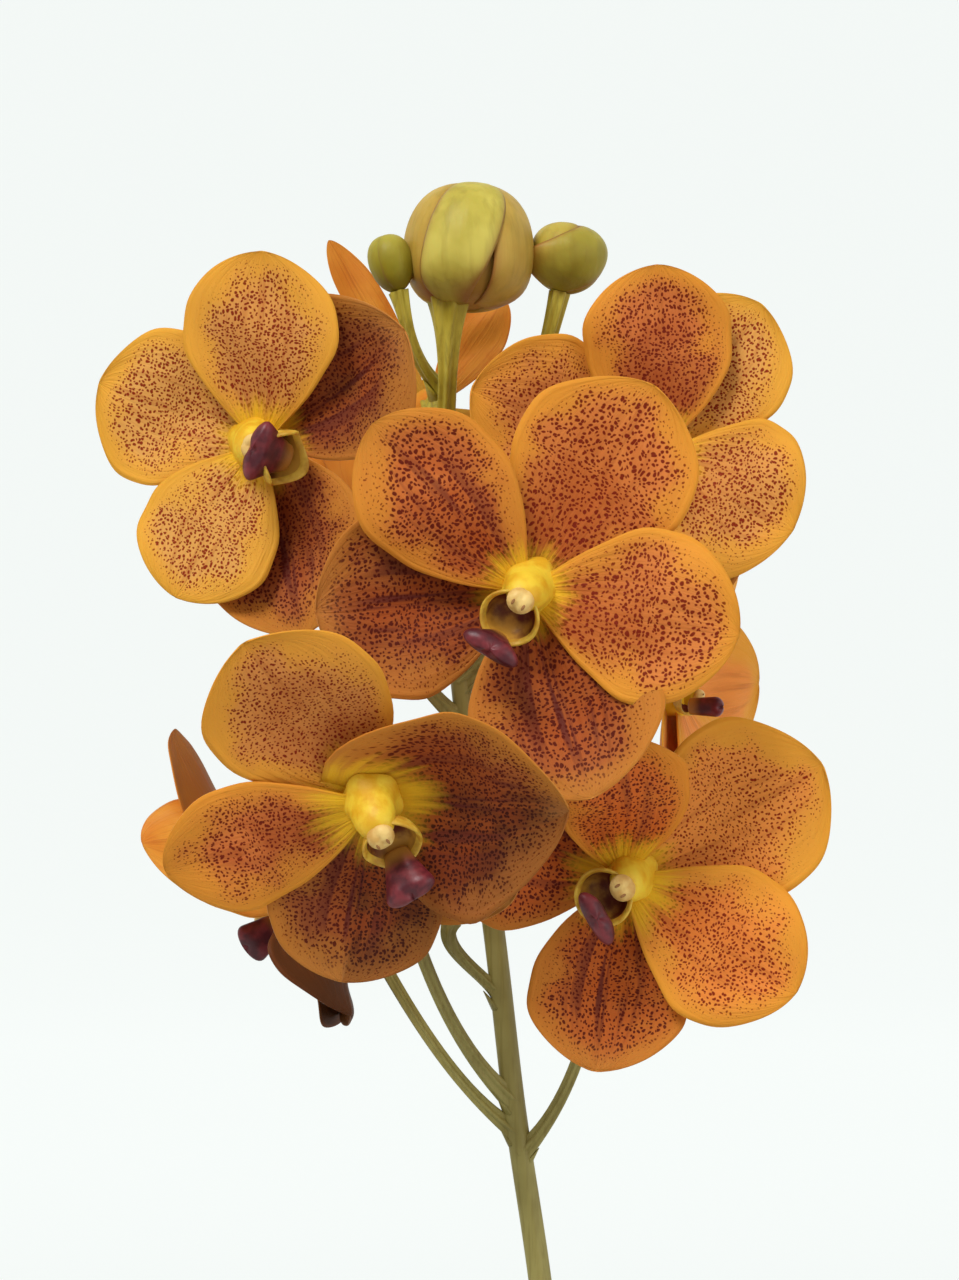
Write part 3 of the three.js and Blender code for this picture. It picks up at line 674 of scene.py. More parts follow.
def thicken(grid, thickness, thin_share, weights, back_material=0):
    """Gives a blade its thickness, full where the weight is 1 and thinner towards its margin."""
    group = grid.vertex_groups.new(name="thick")
    for index, weight in enumerate(weights):
        group.add([index], float(weight), "REPLACE")
    wall = grid.modifiers.new("thickness", "SOLIDIFY")
    wall.thickness = thickness
    wall.offset = 0
    wall.vertex_group = "thick"
    wall.thickness_vertex_group = thin_share
    wall.material_offset = back_material
    bpy.context.view_layer.objects.active = grid
    bpy.ops.object.modifier_apply(modifier=wall.name)
    grid.vertex_groups.clear()
    bpy.ops.object.shade_smooth()


def between(first, last, share):
    return first + (last - first) * share


def make_leaf(index):
    """A leaf that leaves the stem at its rise and arches over by its droop, folded along its middle."""
    young = index / (LEAF_COUNT - 1)
    length = between(OLDEST_LEAF["length"], YOUNGEST_LEAF["length"], young * young)
    width = between(OLDEST_LEAF["width"], YOUNGEST_LEAF["width"], young)
    rise = between(OLDEST_LEAF["rise"], YOUNGEST_LEAF["rise"], young)
    droop = between(OLDEST_LEAF["droop"], YOUNGEST_LEAF["droop"], young)
    side = 1 if index % 2 else -1
    yaw = math.radians(9 * math.sin(2.4 * index + 0.5))
    grid, across, along = add_grid(*LEAF_GRID)
    bite = np.interp(across, np.linspace(-1, 1, 5), TIP_BITES)
    reach = along * (1 - bite * along**2)
    steps = np.linspace(0, 1, 25)
    slopes = np.radians(rise - droop * (reach[:, None] * steps) ** 1.25)
    out = STEM_RADIUS / MM - LEAF_SEAT + length * reach * np.cos(slopes).mean(axis=1)
    up = length * reach * np.sin(slopes).mean(axis=1)
    slope = np.radians(rise - droop * reach**1.25)
    opening = np.sin(np.pi / 2 * np.minimum(1, reach / 0.7))
    half = width / 2 * between(LEAF_BASE_SHARE, 1, opening) * (1 - 0.25 * reach**4)
    rounded = np.sqrt(across**2 + 0.01) - 0.1
    fold = (0.75 - 0.45 * reach) * half * rounded - 0.35 * np.exp(-((across / 0.07) ** 2))
    x = side * (out - fold * np.sin(slope))
    y = side * across * half * (0.75 + 0.25 * reach)
    z = FIRST_LEAF + LEAF_SPACING * index + up + fold * np.cos(slope)
    turned = [x * math.cos(yaw) - y * math.sin(yaw), x * math.sin(yaw) + y * math.cos(yaw), z]
    marks = np.stack([across * half, along * length + 37 * index], axis=1)
    shape_grid(grid, np.stack(turned, axis=1) * MM, marks, "blade")
    mark_points(grid.data, "along", along)
    mark_points(grid.data, "across", across)
    thicken(grid, LEAF_THICK * MM, 0.5, 1 - 0.75 * np.abs(across) ** 3)
    return grid


leaf_skin = leaf_finish()
for index in range(LEAF_COUNT):
    leaf = make_leaf(index)
    leaf.data.materials.append(leaf_skin)
    show(leaf, f"strap_leaf_{index + 1}", "leaf", f"leaf_{index + 1}")


# The flower spike: an olive stalk that breaks out of the stem between two leaves and leans over to the left
# at its top. Ribbed flower stalks branch off it, each out of a small bract, and widen into the ovary.
SCAPE_RADIUS = 2.8
SCAPE_TIP_RADIUS = 2.1
PEDICEL_RADIUS = 1.4
OVARY_RADIUS = 2.3
RECEPTACLE_BACK = 5
GAP = 0.3
SPIKE_STEPS = 160
STALK_STEPS = 36
JOINT_SWELL = 1.1
JOINT_FADE = 14
NECK_SHARE = 0.95
BRACT_LENGTH = 4.5
BRACT_RADIUS = 1.9
BRACT_TIP = 0.2
BRACT_FLATTENING = 0.45
BRACT_LEAN = 0.7
BRACT_OUT = 2.6
BRACT_DOWN = 0.6
SPIKE = [
    (0, -10, 180),
    (2, -17, 200),
    (9, -22, 240),
    (13, -13, 290),
    (8.6, -1, 328),
    (3.4, 0, 363),
    (-0.8, 0, 399),
    (-7.5, 0, 449),
    (-11.8, 0, 500),
    (-12.4, -1, 515),
    (-10.8, -3, 528),
]
SPIKE_FOOT = [(0, -1, 158), (0, -5.2, 166), (0, -8, 173), SPIKE[0]]
FOOT_RADIUS = 2.0
FOOT_STEPS = 12

# The usual five tepals: two petals over three sepals, each at its angle round the flower's face.
SEPAL = {"level": -1.2, "lift": 6, "curl": 4, "cup": 0.1, "crease": 0.08}
SEPAL.update({"wave": 1.3, "widest": 0.6, "roll": 0.8})
LATERAL = {**SEPAL, "length": 43, "width": 39, "crease": 0.16}
PETAL = {"level": 1.4, "lift": 16, "curl": -10, "cup": 0.06, "crease": 0}
PETAL.update({"wave": 1.7, "widest": 0.6, "roll": 1.4})
USUAL = {
    "dorsal": {**SEPAL, "angle": 0, "length": 46, "width": 38, "phase": 0.6},
    "right": {**PETAL, "angle": 68, "length": 42, "width": 35, "phase": 1.4},
    "left": {**PETAL, "angle": -68, "length": 42, "width": 35, "phase": 3.6},
    "lateral_right": {**LATERAL, "angle": 130, "phase": 2.2},
    "lateral_left": {**LATERAL, "angle": -130, "phase": 4.7},
}

# Where each flower's middle is, how its face is turned (yaw to the right, pitch up, roll clockwise), how
# far up the spike its stalk leaves and the way it sets off, and what differs from the usual tepals, tongue,
# cup and column. An ear is a margin that runs on past the tepal's root.
BLOOMS = [
    {
        "place": (5.4, -50, 471.9),
        "turned": (0, 0, 32),
        "stalk": (0.69, (0.2, -1, 0.9)),
        "tongue": {"size": 1.18},
        "dorsal": {"length": 46.5},
        "right": {"angle": 70},
        "left": {"angle": -75, "width": 31.5, "length": 44},
        "lateral_right": {"angle": 131, "lift": 14},
        "lateral_left": {"angle": -128, "length": 41},
    },
    {
        "place": (-48.3, -30, 501.7),
        "turned": (-18, 0, -69),
        "stalk": (0.76, (-1, -0.4, 0.8)),
        "cup": {"place": (0, -4.4, 7), "tilt": 64, "ruffle": 1.6},
        "tongue": {"drop": -22, "foot": (0, -8.5, 5.5), "size": 1.2},
        "dorsal": {"length": 35.5, "width": 33},
        "right": {"angle": 74, "length": 38, "width": 34},
        "left": {"angle": -84, "length": 34, "width": 31},
        "lateral_right": {"angle": 124, "length": 38, "width": 35},
        "lateral_left": {"angle": -126, "length": 39, "width": 37, "widest": 0.52},
    },
    {
        "place": (32.3, -20, 500),
        "turned": (10, 5, 45),
        "stalk": (0.79, (1, -0.3, 0.9)),
        "dorsal": {"angle": -10, "length": 37, "width": 31},
        "right": {"angle": 76, "length": 30.5, "width": 36},
        "left": {"angle": -46, "length": 37.5, "width": 32},
        "lateral_right": {"length": 34, "width": 30},
        "lateral_left": {"angle": -117, "length": 40, "width": 34},
    },
    {
        "place": (-24.7, -58, 430.3),
        "turned": (0, -25, -34),
        "stalk": (0.54, (-1, -0.5, 0.9)),
        "tongue": {"drop": 34, "foot": (-1.4, -9.2, 4.8), "spread": 3.2, "size": 1.2},
        "dorsal": {"length": 43},
        "right": {
            "angle": 121,
            "length": 38,
            "width": 45,
            "level": -1.4,
            "lift": 4,
            "curl": 20,
            "cup": 0.4,
            "widest": 0.42,
            "ear": 12,
        },
        "left": {"angle": -73, "width": 27, "lift": 10},
        "lateral_right": {"angle": 165, "length": 34, "width": 28, "lift": 4, "level": -3.4},
        "lateral_left": {"angle": -136, "length": 38, "width": 34.5},
    },
    {
        "place": (25.3, -34, 413.7),
        "turned": (8, 0, 60),
        "stalk": (0.505, (0.9, -0.2, 0.9)),
        "tongue": {"drop": 6, "foot": (2.2, -9.2, 4.4), "size": 1.15},
        "dorsal": {"length": 45},
        "right": {"angle": 64, "length": 40, "width": 33},
        "left": {"length": 34, "width": 28, "lift": 40},
        "lateral_right": {"length": 38, "width": 33},
        "lateral_left": {"length": 38, "width": 37, "lift": 2},
    },
    {
        "place": (36.8, 7, 450),
        "turned": (70, 0, 86),
        "stalk": (0.65, (1, 0.2, 0.9)),
        "size": 0.9,
        "column": 0.6,
        "tongue": {"drop": 6, "foot": (1.5, -9, 6.8), "spread": 0.6, "size": 0.9},
        "right": {"width": 43},
        "lateral_right": {"angle": 98},
        "dorsal": {"length": 40, "width": 32, "lift": 14},
    },
    {
        "place": (-41, 6, 408),
        "turned": (-98, -32, -75),
        "stalk": (0.52, (-1.5, 0, 1)),
        "straight": 0.08,
        "size": 0.92,
        "tongue": {"size": 1.2, "spread": 2.4},
        "right": {"angle": 75, "length": 47, "lift": 10, "cup": 0.35},
        "left": {"length": 31, "cup": 0.35},
        "lateral_right": {"angle": 123, "length": 46, "width": 38, "curl": 44},
        "lateral_left": {"length": 31, "cup": 0.35},
    },
    {
        "place": (-14.7, 20, 512),
        "turned": (180, 0, 0),
        "stalk": (0.84, (-0.1, 1, 0.9)),
        "size": 0.9,
        "dorsal": {"angle": 31, "width": 9.5},
        "right": {"angle": 96, "length": 32},
        "left": {"angle": -34, "length": 31, "width": 13},
        "lateral_right": {"angle": 150, "length": 28},
        "lateral_left": {"angle": -150, "length": 28},
    },
    {
        "place": (18, 36, 486),
        "turned": (168, 0, -20),
        "stalk": (0.72, (0.4, 1, 0.9)),
        "size": 0.82,
    },
]

# The foot of each bud, the way it points, its size, and its stalk as for a flower. The stalk of the big
# bud is the stout end of the spike, and joins it off its middle. A lone stalk has dropped its flower.
BUDS = [
    {
        "place": (-6.6, -8, 531.5),
        "way": (0.02, 0.15, 1),
        "length": 25.5,
        "radius": 13,
        "swell": (0.94, 0.7),
        "neck": (-10.4, -8.5, 534.6),
        "girth": 1.5,
        "funnel": 3.6,
        "stalk": (0.92, (0.1, -0.3, 1)),
    },
    {
        "place": (-20.9, -12, 534.7),
        "way": (-0.26, 0.1, 1),
        "length": 11.4,
        "radius": 4.1,
        "swell": (1.15, 0.8),
        "stalk": (0.965, (-0.8, -0.6, 0.8)),
    },
    {
        "place": (12.9, -2, 535.3),
        "way": (0.22, 0.1, 1),
        "length": 14,
        "radius": 7.5,
        "swell": (1.15, 0.8),
        "stalk": (0.88, (1, 0.1, 1)),
    },
]
DROPPED = {"place": (-9.5, -10, 404), "way": (0.5, -0.2, 0.8), "stalk": (0.6, (-0.9, -0.2, 1))}


def spike_finish():
    finish = Finish("flower_spike", Roughness=0.5, Specular_IOR_Level=0.3)
    place = finish.place()
    height = finish.axis(place, "Z")
    cloud = finish.noise(place, 60, 3)
    streak = finish.noise(finish.stretched(place, (1, 1, 0.06)), 1100, 3)
    olive = finish.mottle(cloud, "82753c", "988c4e")
    green = finish.mottle(cloud, "ab992b", "c6b645")
    stalk = finish.mix(finish.ease(height, 0.45, 0.52), olive, green)
    stalk = finish.mix(finish.ease(streak, 0.45, 0.7, 0, 0.3), stalk, "66541c")
    base = finish.ease(height, 0.19, 0.27, 0.7, 0)
    stalk = finish.mix(base, stalk, "6d8238")
    finish.relief(streak, 0.0002)
    return finish.paint(stalk)


def bloom_matrix(bloom):
    """From a flower's own millimetres, with z out of its face, to the plant's metres."""
    yaw, pitch, roll = [math.radians(angle) for angle in bloom["turned"]]
    turn = Matrix.Rotation(yaw, 4, "Z") @ Matrix.Rotation(math.pi / 2 - pitch, 4, "X")
    spot = Matrix.Translation([c * MM for c in bloom["place"]])
    return spot @ turn @ Matrix.Rotation(-roll, 4, "Z") @ Matrix.Scale(MM, 4)


def unit(vector):
    return np.array(vector, float) / np.linalg.norm(vector)


def make_stalk(part, end, way, section):
    """A stalk from the spike to the back of a flower or a bud, which it meets square on."""
    joint, lean = part["stalk"]
    start = spike_line[round(joint * SPIKE_STEPS)]
    reach = np.linalg.norm(end - start)
    first = start + unit(lean) * reach * 0.4
    last = end - way * reach * part.get("straight", 0.3)
    t = np.linspace(0, 1, STALK_STEPS + 1)[:, None]
    line = start * (1 - t) ** 3 + 3 * first * t * (1 - t) ** 2 + 3 * last * t**2 * (1 - t) + end * t**3
    share = t[:, 0]
    radii = between(PEDICEL_RADIUS, part.get("funnel", OVARY_RADIUS), share**4) * part.get("girth", 1)
    radii += JOINT_SWELL * np.exp(-share * JOINT_FADE)
    return rod("stalk", line * MM, radii * MM, section, twist=0.5)


def make_bract(stalk):
    """The small scale under the foot of a stalk: a flattened cone that leans out with it."""
    joint, lean = stalk
    start = spike_line[round(joint * SPIKE_STEPS)]
    bpy.ops.object.select_all(action="DESELECT")
    radii = {"radius1": BRACT_RADIUS * MM, "radius2": BRACT_TIP * MM}
    bpy.ops.mesh.primitive_cone_add(vertices=12, depth=BRACT_LENGTH * MM, **radii)
    bract = bpy.context.object
    out = Vector((lean[0], lean[1], 0)).normalized()
    tilt = (out * BRACT_LEAN + Vector((0, 0, 1))).to_track_quat("Z", "Y").to_matrix().to_4x4()
    foot = Vector(start) * MM + out * BRACT_OUT * MM + Vector((0, 0, -BRACT_DOWN * MM))
    bract.data.transform(Matrix.Translation(foot) @ tilt @ Matrix.Diagonal((1, BRACT_FLATTENING, 1, 1)))
    bpy.ops.object.shade_smooth()
    return bract


spike_line = smooth_line(SPIKE, SPIKE_STEPS)
ribbed_section = section_curve("ribbed_section", sides=48, lobes=6, depth=0.3)
scape_section = section_curve("scape_section", sides=30, lobes=5, depth=0.05)
run = np.linspace(0, 1, SPIKE_STEPS + 1)
scape_radii = between(SCAPE_RADIUS, SCAPE_TIP_RADIUS, run)
below_neck = round(NECK_SHARE * SPIKE_STEPS)
foot_line = smooth_line(SPIKE_FOOT, FOOT_STEPS)[:-1]
foot_radii = between(FOOT_RADIUS, SCAPE_RADIUS, np.linspace(0, 1, FOOT_STEPS))
main_line = np.concatenate([foot_line, spike_line[:below_neck]]) * MM
main_radii = np.concatenate([foot_radii, scape_radii[:below_neck]]) * MM
limbs = [rod("spike", main_line, main_radii, scape_section, twist=0.8)]
for bloom in BLOOMS:
    way = np.array(bloom_matrix(bloom).to_3x3() @ Vector((0, 0, 1))) / MM
    end = np.array(bloom["place"]) - way * (RECEPTACLE_BACK + GAP)
    limbs.append(make_stalk(bloom, end, way, ribbed_section))
for bud in [*BUDS, DROPPED]:
    way = unit(bud["way"])
    limbs.append(make_stalk(bud, np.array(bud.get("neck", bud["place"])) - way * GAP, way, ribbed_section))
limbs += [make_bract(part["stalk"]) for part in [*BLOOMS, *BUDS, DROPPED]]
spike = join_pieces(limbs)
spike.data.materials.clear()
spike.data.materials.append(spike_finish())
show(spike, "flower_spike", "spike", "spike")
for section in (round_section, ribbed_section, scape_section):
    bpy.data.objects.remove(section)


# The tepals: five broad waxy blades in each flower, three sepals behind two petals, golden at the margin,
# salmon to brown inside, with rows of dark red spots. Each is a grid bent to its blade, then thickened.
TEPAL_THICK = 0.9
TEPAL_START = 1.5
TEPAL_GRID = (30, 40)
CLAW_SHARE = 0.17
BELLY_POWER = 1.16
DENT = 1.6
RECEPTACLE_RADIUS = 4.2
RECEPTACLE_RINGS = [(3.3, -3.6), (4.0, -2.2), (RECEPTACLE_RADIUS, -0.6), (RECEPTACLE_RADIUS, 2.4)]
RECEPTACLE_FRONT = 3.4


def tone(brown, dense, fold=0, soft=0.12):
    """How brown a tepal is (0 gold, 1 dark brown, 1.6 darker still), how dense its spots are, and how much
    painted shade darkens it left of its middle, as where it folds along its keel (painted light where
    negative), with a soft or a sharp line between."""
    return {"brown": brown, "dense": dense, "fold": fold, "soft": soft}


# The usual tone of each tepal, and where a flower differs from it. Then by flower: how orange it is, how
# fine its spots are, and how far, in millimetres, the yellow of its middle spreads.
TONES = {"dorsal": tone(0.35, 0.85), "right": tone(0.4, 0.9), "left": tone(0.4, 0.9)}
TONES.update({"lateral_right": tone(0.8, 0.9), "lateral_left": tone(0.8, 0.9)})
OWN_TONES = [
    {
        "dorsal": tone(0.36, 0.9),
        "right": tone(0.33, 0.95),
        "left": tone(0.64, 1),
        "lateral_right": tone(0.75, 0.95),
    },
    {
        "dorsal": tone(0.06, 0.85),
        "right": tone(0.18, 0.9),
        "left": tone(0.04, 0.9),
        "lateral_left": tone(0.7, 0.92),
    },
    {
        "dorsal": tone(0.05, 0.85),
        "right": tone(0.15, 0.9),
        "left": tone(0.45, 0.95),
        "lateral_left": tone(0.3, 0.7),
    },
    {
        "dorsal": tone(0.26, 0.66),
        # The right petal's 1.15 is brown in its own colour and darker still with painted shade where the
        # first flower shades it, and its -0.42 is painted light on its top band; the low left sepal's 0.28
        # is painted shade on its folded half.
        "right": tone(1.15, 0.9, -0.42, 0.9),
        "left": tone(0.52, 0.85),
        "lateral_left": tone(0.8, 0.88, 0.28),
    },
    {
        "dorsal": tone(0.04, 0.6),
        "right": tone(0.22, 0.75),
        "left": tone(0.6, 0.85),
        "lateral_right": tone(0.74, 0.8),
    },
    {name: tone(0.06, 0) for name in USUAL},
    {
        "dorsal": tone(0.9, 0.3),
        "right": tone(0.75, 0.2),
        "left": tone(1.6, 0.3),
        "lateral_right": tone(0, 0),
        "lateral_left": tone(1.6, 0.3),
    },
    {**{name: tone(0.4, 0) for name in USUAL}, "dorsal": tone(0.35, 0), "left": tone(0.45, 0)},
    {},
]
WARMTH = [0.3, 0, 0.1, 0.1, 0.9, 1, 0.6, 0.4, 0.4]
SPOT_FINENESS = [1, 1.2, 1.15, 1.15, 1.12, 1, 1, 1, 1]
YELLOW_REACH = [10, 10, 10, 14, 12, 4, 8, 8, 8]
MARGIN_SHARE = 0.3


def waxy_finish(name):
    """The waxy skin of a tepal. Light goes a little way into it, and red light the furthest."""
    inner = {"Subsurface_Weight": 0.1, "Subsurface_Scale": 0.0012, "Subsurface_Radius": (1.0, 0.35, 0.12)}
    return Finish(name, Roughness=0.55, Specular_IOR_Level=0.12, **inner)


def fanned_noise(finish, across, along, count, other, detail):
    """Bands that fan out from a tepal's claw, and change with another number."""
    fan = finish.add("CombineXYZ", {"X": finish.times(across, count), "Y": along, "Z": other})
    return finish.noise(fan, 1.0, detail, 0.6)


def tepal_face():
    finish = waxy_finish("tepal_face")
    marks = finish.place("marks")
    edge = finish.share("edge")
    along = finish.share("along")
    across = finish.share("across")
    brown = finish.share("brown")
    dense = finish.share("dense")
    cloud = finish.noise(marks, 0.1, 3)
    stir = finish.add("TexNoise", {"Vector": marks, "Scale": 0.4, "Detail": 1.0}, output="Color")
    shift = finish.add("VectorMath", {0: stir, 1: (0.5, 0.5, 0.5)}, operation="SUBTRACT")
    shift = finish.add("VectorMath", {0: shift, "Scale": 1.6}, output="Vector", operation="SCALE")
    warped = finish.add("VectorMath", {0: marks, 1: shift}, operation="ADD")
    drift = finish.ease(finish.noise(marks, 0.07, 2), 0.34, 0.66, -3.0, 4.0)
    within = finish.times(drift, finish.ease(edge, 0.0, 6.0))
    within = finish.plus(finish.plus(edge, within), finish.ease(brown, 0.5, 1.0, 0, 1.5))

    # The ground: a golden margin round a salmon to brown inside, with fine veins that fan out.
    low_brown = finish.ease(brown, 0.0, 0.5)
    high_brown = finish.ease(brown, 0.5, 1.0)
    rim = finish.mix(high_brown, finish.mix(low_brown, "e6a434", "e0922e"), "a4642a")
    heart = finish.mix(high_brown, finish.mix(low_brown, "e0a252", "cb7038"), "623014")
    inside = finish.times(finish.ease(within, -1.0, 10.0), finish.ease(cloud, 0.1, 0.45, 0.75, 1))
    ground = finish.mix(inside, rim, heart)
    blush = finish.times(finish.ease(edge, 6.0, 13.0, 0, 0.55), finish.ease(cloud, 0.35, 0.6))
    ground = finish.mix(finish.times(blush, low_brown), ground, "9c4218")
    # Darker red-brown towards the base: denser colour there, and painted shade where the base turns in
    # towards the column.
    root = finish.times(finish.ease(along, 0.18, 0.7, 0.65, 0), finish.ease(brown, 0.0, 0.4))
    ground = finish.mix(finish.times(root, inside), ground, "8c3a12")
    warm = finish.times(finish.share("warm"), finish.ease(brown, 0.5, 1.0, 0.42, 0.12))
    ground = finish.mix(finish.times(warm, finish.ease(inside, 0, 1, 0.35, 1)), ground, "ff7610")
    veins = fanned_noise(finish, across, along, 9.0, cloud, 4)
    vein = finish.times(finish.ease(veins, 0.45, 0.75, 0, 0.5), inside)
    ground = finish.mix(vein, ground, "ae5a24")

    # Purple streaks along the middle of the browner tepals.
    bands = fanned_noise(finish, across, along, 6.0, brown, 3)
    middle = finish.ease(finish.number("ABSOLUTE", across), 0.1, 0.8, 1, 0)
    streak = finish.times(finish.ease(bands, 0.47, 0.6), finish.ease(brown, 0.5, 0.72))
    streak = finish.times(streak, finish.times(middle, inside))
    streak = finish.times(streak, finish.ease(along, 0.6, 0.95, 0.8, 0.1))
    ground = finish.mix(streak, ground, "4e161c")

    # The spots: one to each small cell, smaller towards the margin, drawn out and crowded near the base.
    cells = {"Vector": warped, "Scale": 0.95, "Randomness": 0.85}
    spot = finish.add("TexVoronoi", cells, output="Distance", voronoi_dimensions="2D")
    chance = finish.add("TexVoronoi", cells, output="Color", voronoi_dimensions="2D")
    chance = finish.add("SeparateColor", {0: chance})
    field = finish.times(finish.ease(within, 0.1, 6.5), finish.ease(cloud, 0.2, 0.5, 0.75, 1.0))
    field = finish.times(field, dense)
    size = finish.plus(finish.times(chance, 0.22), 0.23)
    reach = finish.times(finish.number("POWER", field, 0.6), size)
    dots = finish.ease(finish.number("SUBTRACT", spot, reach), -0.1, 0.08, 1, 0)
    dots = finish.times(dots, finish.ease(field, 0.02, 0.3))
    ink = finish.mix(brown, "8a1c00", "3a0c04")
    ink = finish.mix(finish.ease(within, 1.0, 6.0, 0.5, 0), ink, "a8520e")
    ground = finish.mix(finish.times(dots, 0.96), ground, ink)

    # Pale tips on the browner tepals, the yellow of the flower's middle, and the dark of the brownest.
    tip = finish.times(high_brown, finish.ease(brown, 1.0, 1.1, 1, 0))
    tip = finish.times(tip, finish.ease(along, 0.78, 1.0, 0, 0.32))
    ground = finish.mix(tip, ground, "c4884e")
    ragged = finish.plus(finish.share("yellow"), finish.ease(veins, 0.3, 0.7, -0.15, 0.15))
    glow = finish.ease(ragged, 0.3, 1.0, 1, 0)
    ground = finish.mix(glow, ground, "ecb826")
    ground = finish.mix(finish.ease(brown, 1.2, 1.6, 0, 0.6), ground, "2e1a10")
    grain = finish.noise(marks, 5.5, 2)
    height = finish.plus(finish.times(veins, 1.6), finish.times(grain, 0.25))
    finish.relief(height, 0.0004)
    return finish.paint(ground)


def tepal_back():
    finish = waxy_finish("tepal_back")
    marks = finish.place("marks")
    along = finish.share("along")
    across = finish.share("across")
    brown = finish.share("brown")
    cloud = finish.noise(marks, 0.09, 3)
    veins = fanned_noise(finish, across, along, 11.0, cloud, 4)
    back = finish.mottle(cloud, "d57f28", "df9433")
    back = finish.mix(finish.ease(brown, 0.2, 1.0), back, "7a4218")
    back = finish.mix(finish.ease(veins, 0.46, 0.7, 0, 0.45), back, "a9581f")
    back = finish.mix(finish.ease(along, 0.05, 0.3, 0.6, 0), back, "c2a23a")
    back = finish.mix(finish.ease(brown, 1.2, 1.6, 0, 0.6), back, "2e1a10")
    finish.relief(veins, 0.0003)
    return finish.paint(back)


def tepal_outline(along, widest):
    """Half-width of a tepal as a share of its widest: a narrow claw that opens into a round blade."""
    belly = np.sin(np.pi * np.clip(along, 0, 1) ** (math.log(0.5) / math.log(widest)))
    claw = CLAW_SHARE * (1 - along)
    return np.sqrt(np.maximum(belly, 0) ** BELLY_POWER + claw * claw) * (along < 1)


def uneven(along, across, phase):
    """The slight unevenness of a tepal's margin, other on its left than on its right."""
    coarse = 0.02 * np.sin(11 * along + 4 * phase + 2.5 * across)
    return 1 + coarse + 0.01 * np.sin(23 * along + 9 * phase - 4 * across)


def tepal_points(form, along, across):
    """The middle surface of a tepal in its flower's frame, in millimetres."""
    turn, rise, curve = [math.radians(form[name]) for name in ("angle", "lift", "curl")]
    phase = form["phase"]
    slope = rise + curve * along
    half = form["width"] / 2 * tepal_outline(along, form["widest"]) * uneven(along, across, phase)
    out = TEPAL_START + form["length"] * (np.sin(slope) - math.sin(rise)) / curve
    up = form["length"] * (math.cos(rise) - np.cos(slope)) / curve
    margin = across * across * along * (1 - along**6)
    ripple = form["wave"] * margin * np.sin(2 * np.pi * (1.4 * along + 0.35 * across) + phase)
    dent = np.sin(3.1 * across + 2.4 * math.pi * along + 3 * phase)
    above = half * (form["cup"] * across * across + form["crease"] * (np.abs(across) - 0.5)) + ripple
    above += DENT * along * (1 - along**4) * dent * (1 - across * across)
    above -= form["roll"] * np.abs(across) ** 5 * along * (1 - along**6)
    out -= form.get("ear", 0) * np.exp(-((along / 0.22) ** 2)) * np.maximum(0, -across) ** 1.5
    x = (out - above * np.sin(slope)) * math.sin(turn) + across * half * math.cos(turn)
    y = (out - above * np.sin(slope)) * math.cos(turn) - across * half * math.sin(turn)
    return np.stack([x, y, form["level"] + up + above * np.cos(slope)], axis=1)


def make_tepal(form, shade, warm, fineness, yellow, seed, matrix):
    """A tepal, with what its finish reads at each point, such as how far it is from the margin."""
    grid, across, along = add_grid(*TEPAL_GRID)
    along = np.sin(np.pi / 2 * along)
    half = form["width"] / 2 * tepal_outline(along, form["widest"])
    rim_run = np.linspace(0, 1, 160)
    rim_half = form["width"] / 2 * tepal_outline(rim_run, form["widest"])
    rim_run = rim_run * form["length"]
    flat = np.stack([across * half, along * form["length"]], axis=1)
    rim = np.concatenate([np.stack([side * rim_half, rim_run], axis=1) for side in (-1, 1)])
    edge = np.linalg.norm(flat[:, None] - rim[None], axis=2).min(axis=1)

    # The narrow claw is marked like the inside of the blade.
    edge *= 1 + 2.2 * np.maximum(0, 1 - along / 0.5) ** 2
    points = tepal_points(form, along, across)
    turned = points @ np.array(matrix.to_3x3()).T + np.array(matrix.translation)
    fanned = across * np.hypot(half, 6)
    drawn_out = flat[:, 1] * (0.55 + 0.45 * np.minimum(1, along / 0.6))
    marks = np.stack([fanned + 83.0 * seed, drawn_out + 41.0 * seed], axis=1) * fineness
    shape_grid(grid, turned, marks, "marks")
    # Painted shade on the half left of the middle, as across a fold, added to the brown; negative, it is
    # painted light.
    brown = shade["brown"] + shade["fold"] * np.clip(0.5 - across / shade["soft"], 0, 1)
    middle = np.hypot(along * form["length"], across * half) / yellow
    for name, values in (("edge", edge), ("along", along), ("across", across), ("brown", brown)):
        mark_points(grid.data, name, values)
    for name, value in (("dense", shade["dense"]), ("warm", warm), ("yellow", middle)):
        mark_points(grid.data, name, value)
    grid.data.materials.append(face_skin)
    grid.data.materials.append(back_skin)
    thicken(grid, TEPAL_THICK * MM, MARGIN_SHARE, np.clip(edge / 4, 0, 1), back_material=1)
    return grid


def make_receptacle(matrix):
    """The short thick base that the tepals grow from."""
    base = start_ring(OVARY_RADIUS, -RECEPTACLE_BACK, 24)
    for radius, height in RECEPTACLE_RINGS:
        draw_up(base, radius, height)
    draw_up(base, 0.6 * RECEPTACLE_RADIUS, RECEPTACLE_FRONT)
    bpy.ops.object.mode_set(mode="OBJECT")
    base.data.transform(matrix)
    base.data.materials.append(face_skin)
    base.data.materials.append(back_skin)
    heights = np.array([(matrix.inverted() @ v.co).z for v in base.data.vertices])
    mark_points(base.data, "along", np.clip(0.1 - heights / 30, 0, 1))
    base.data.uv_layers[0].name = "marks"
    for face in base.data.polygons:
        face.material_index = int((matrix.inverted() @ face.center).z < 0)
    bpy.ops.object.shade_smooth()
    return base


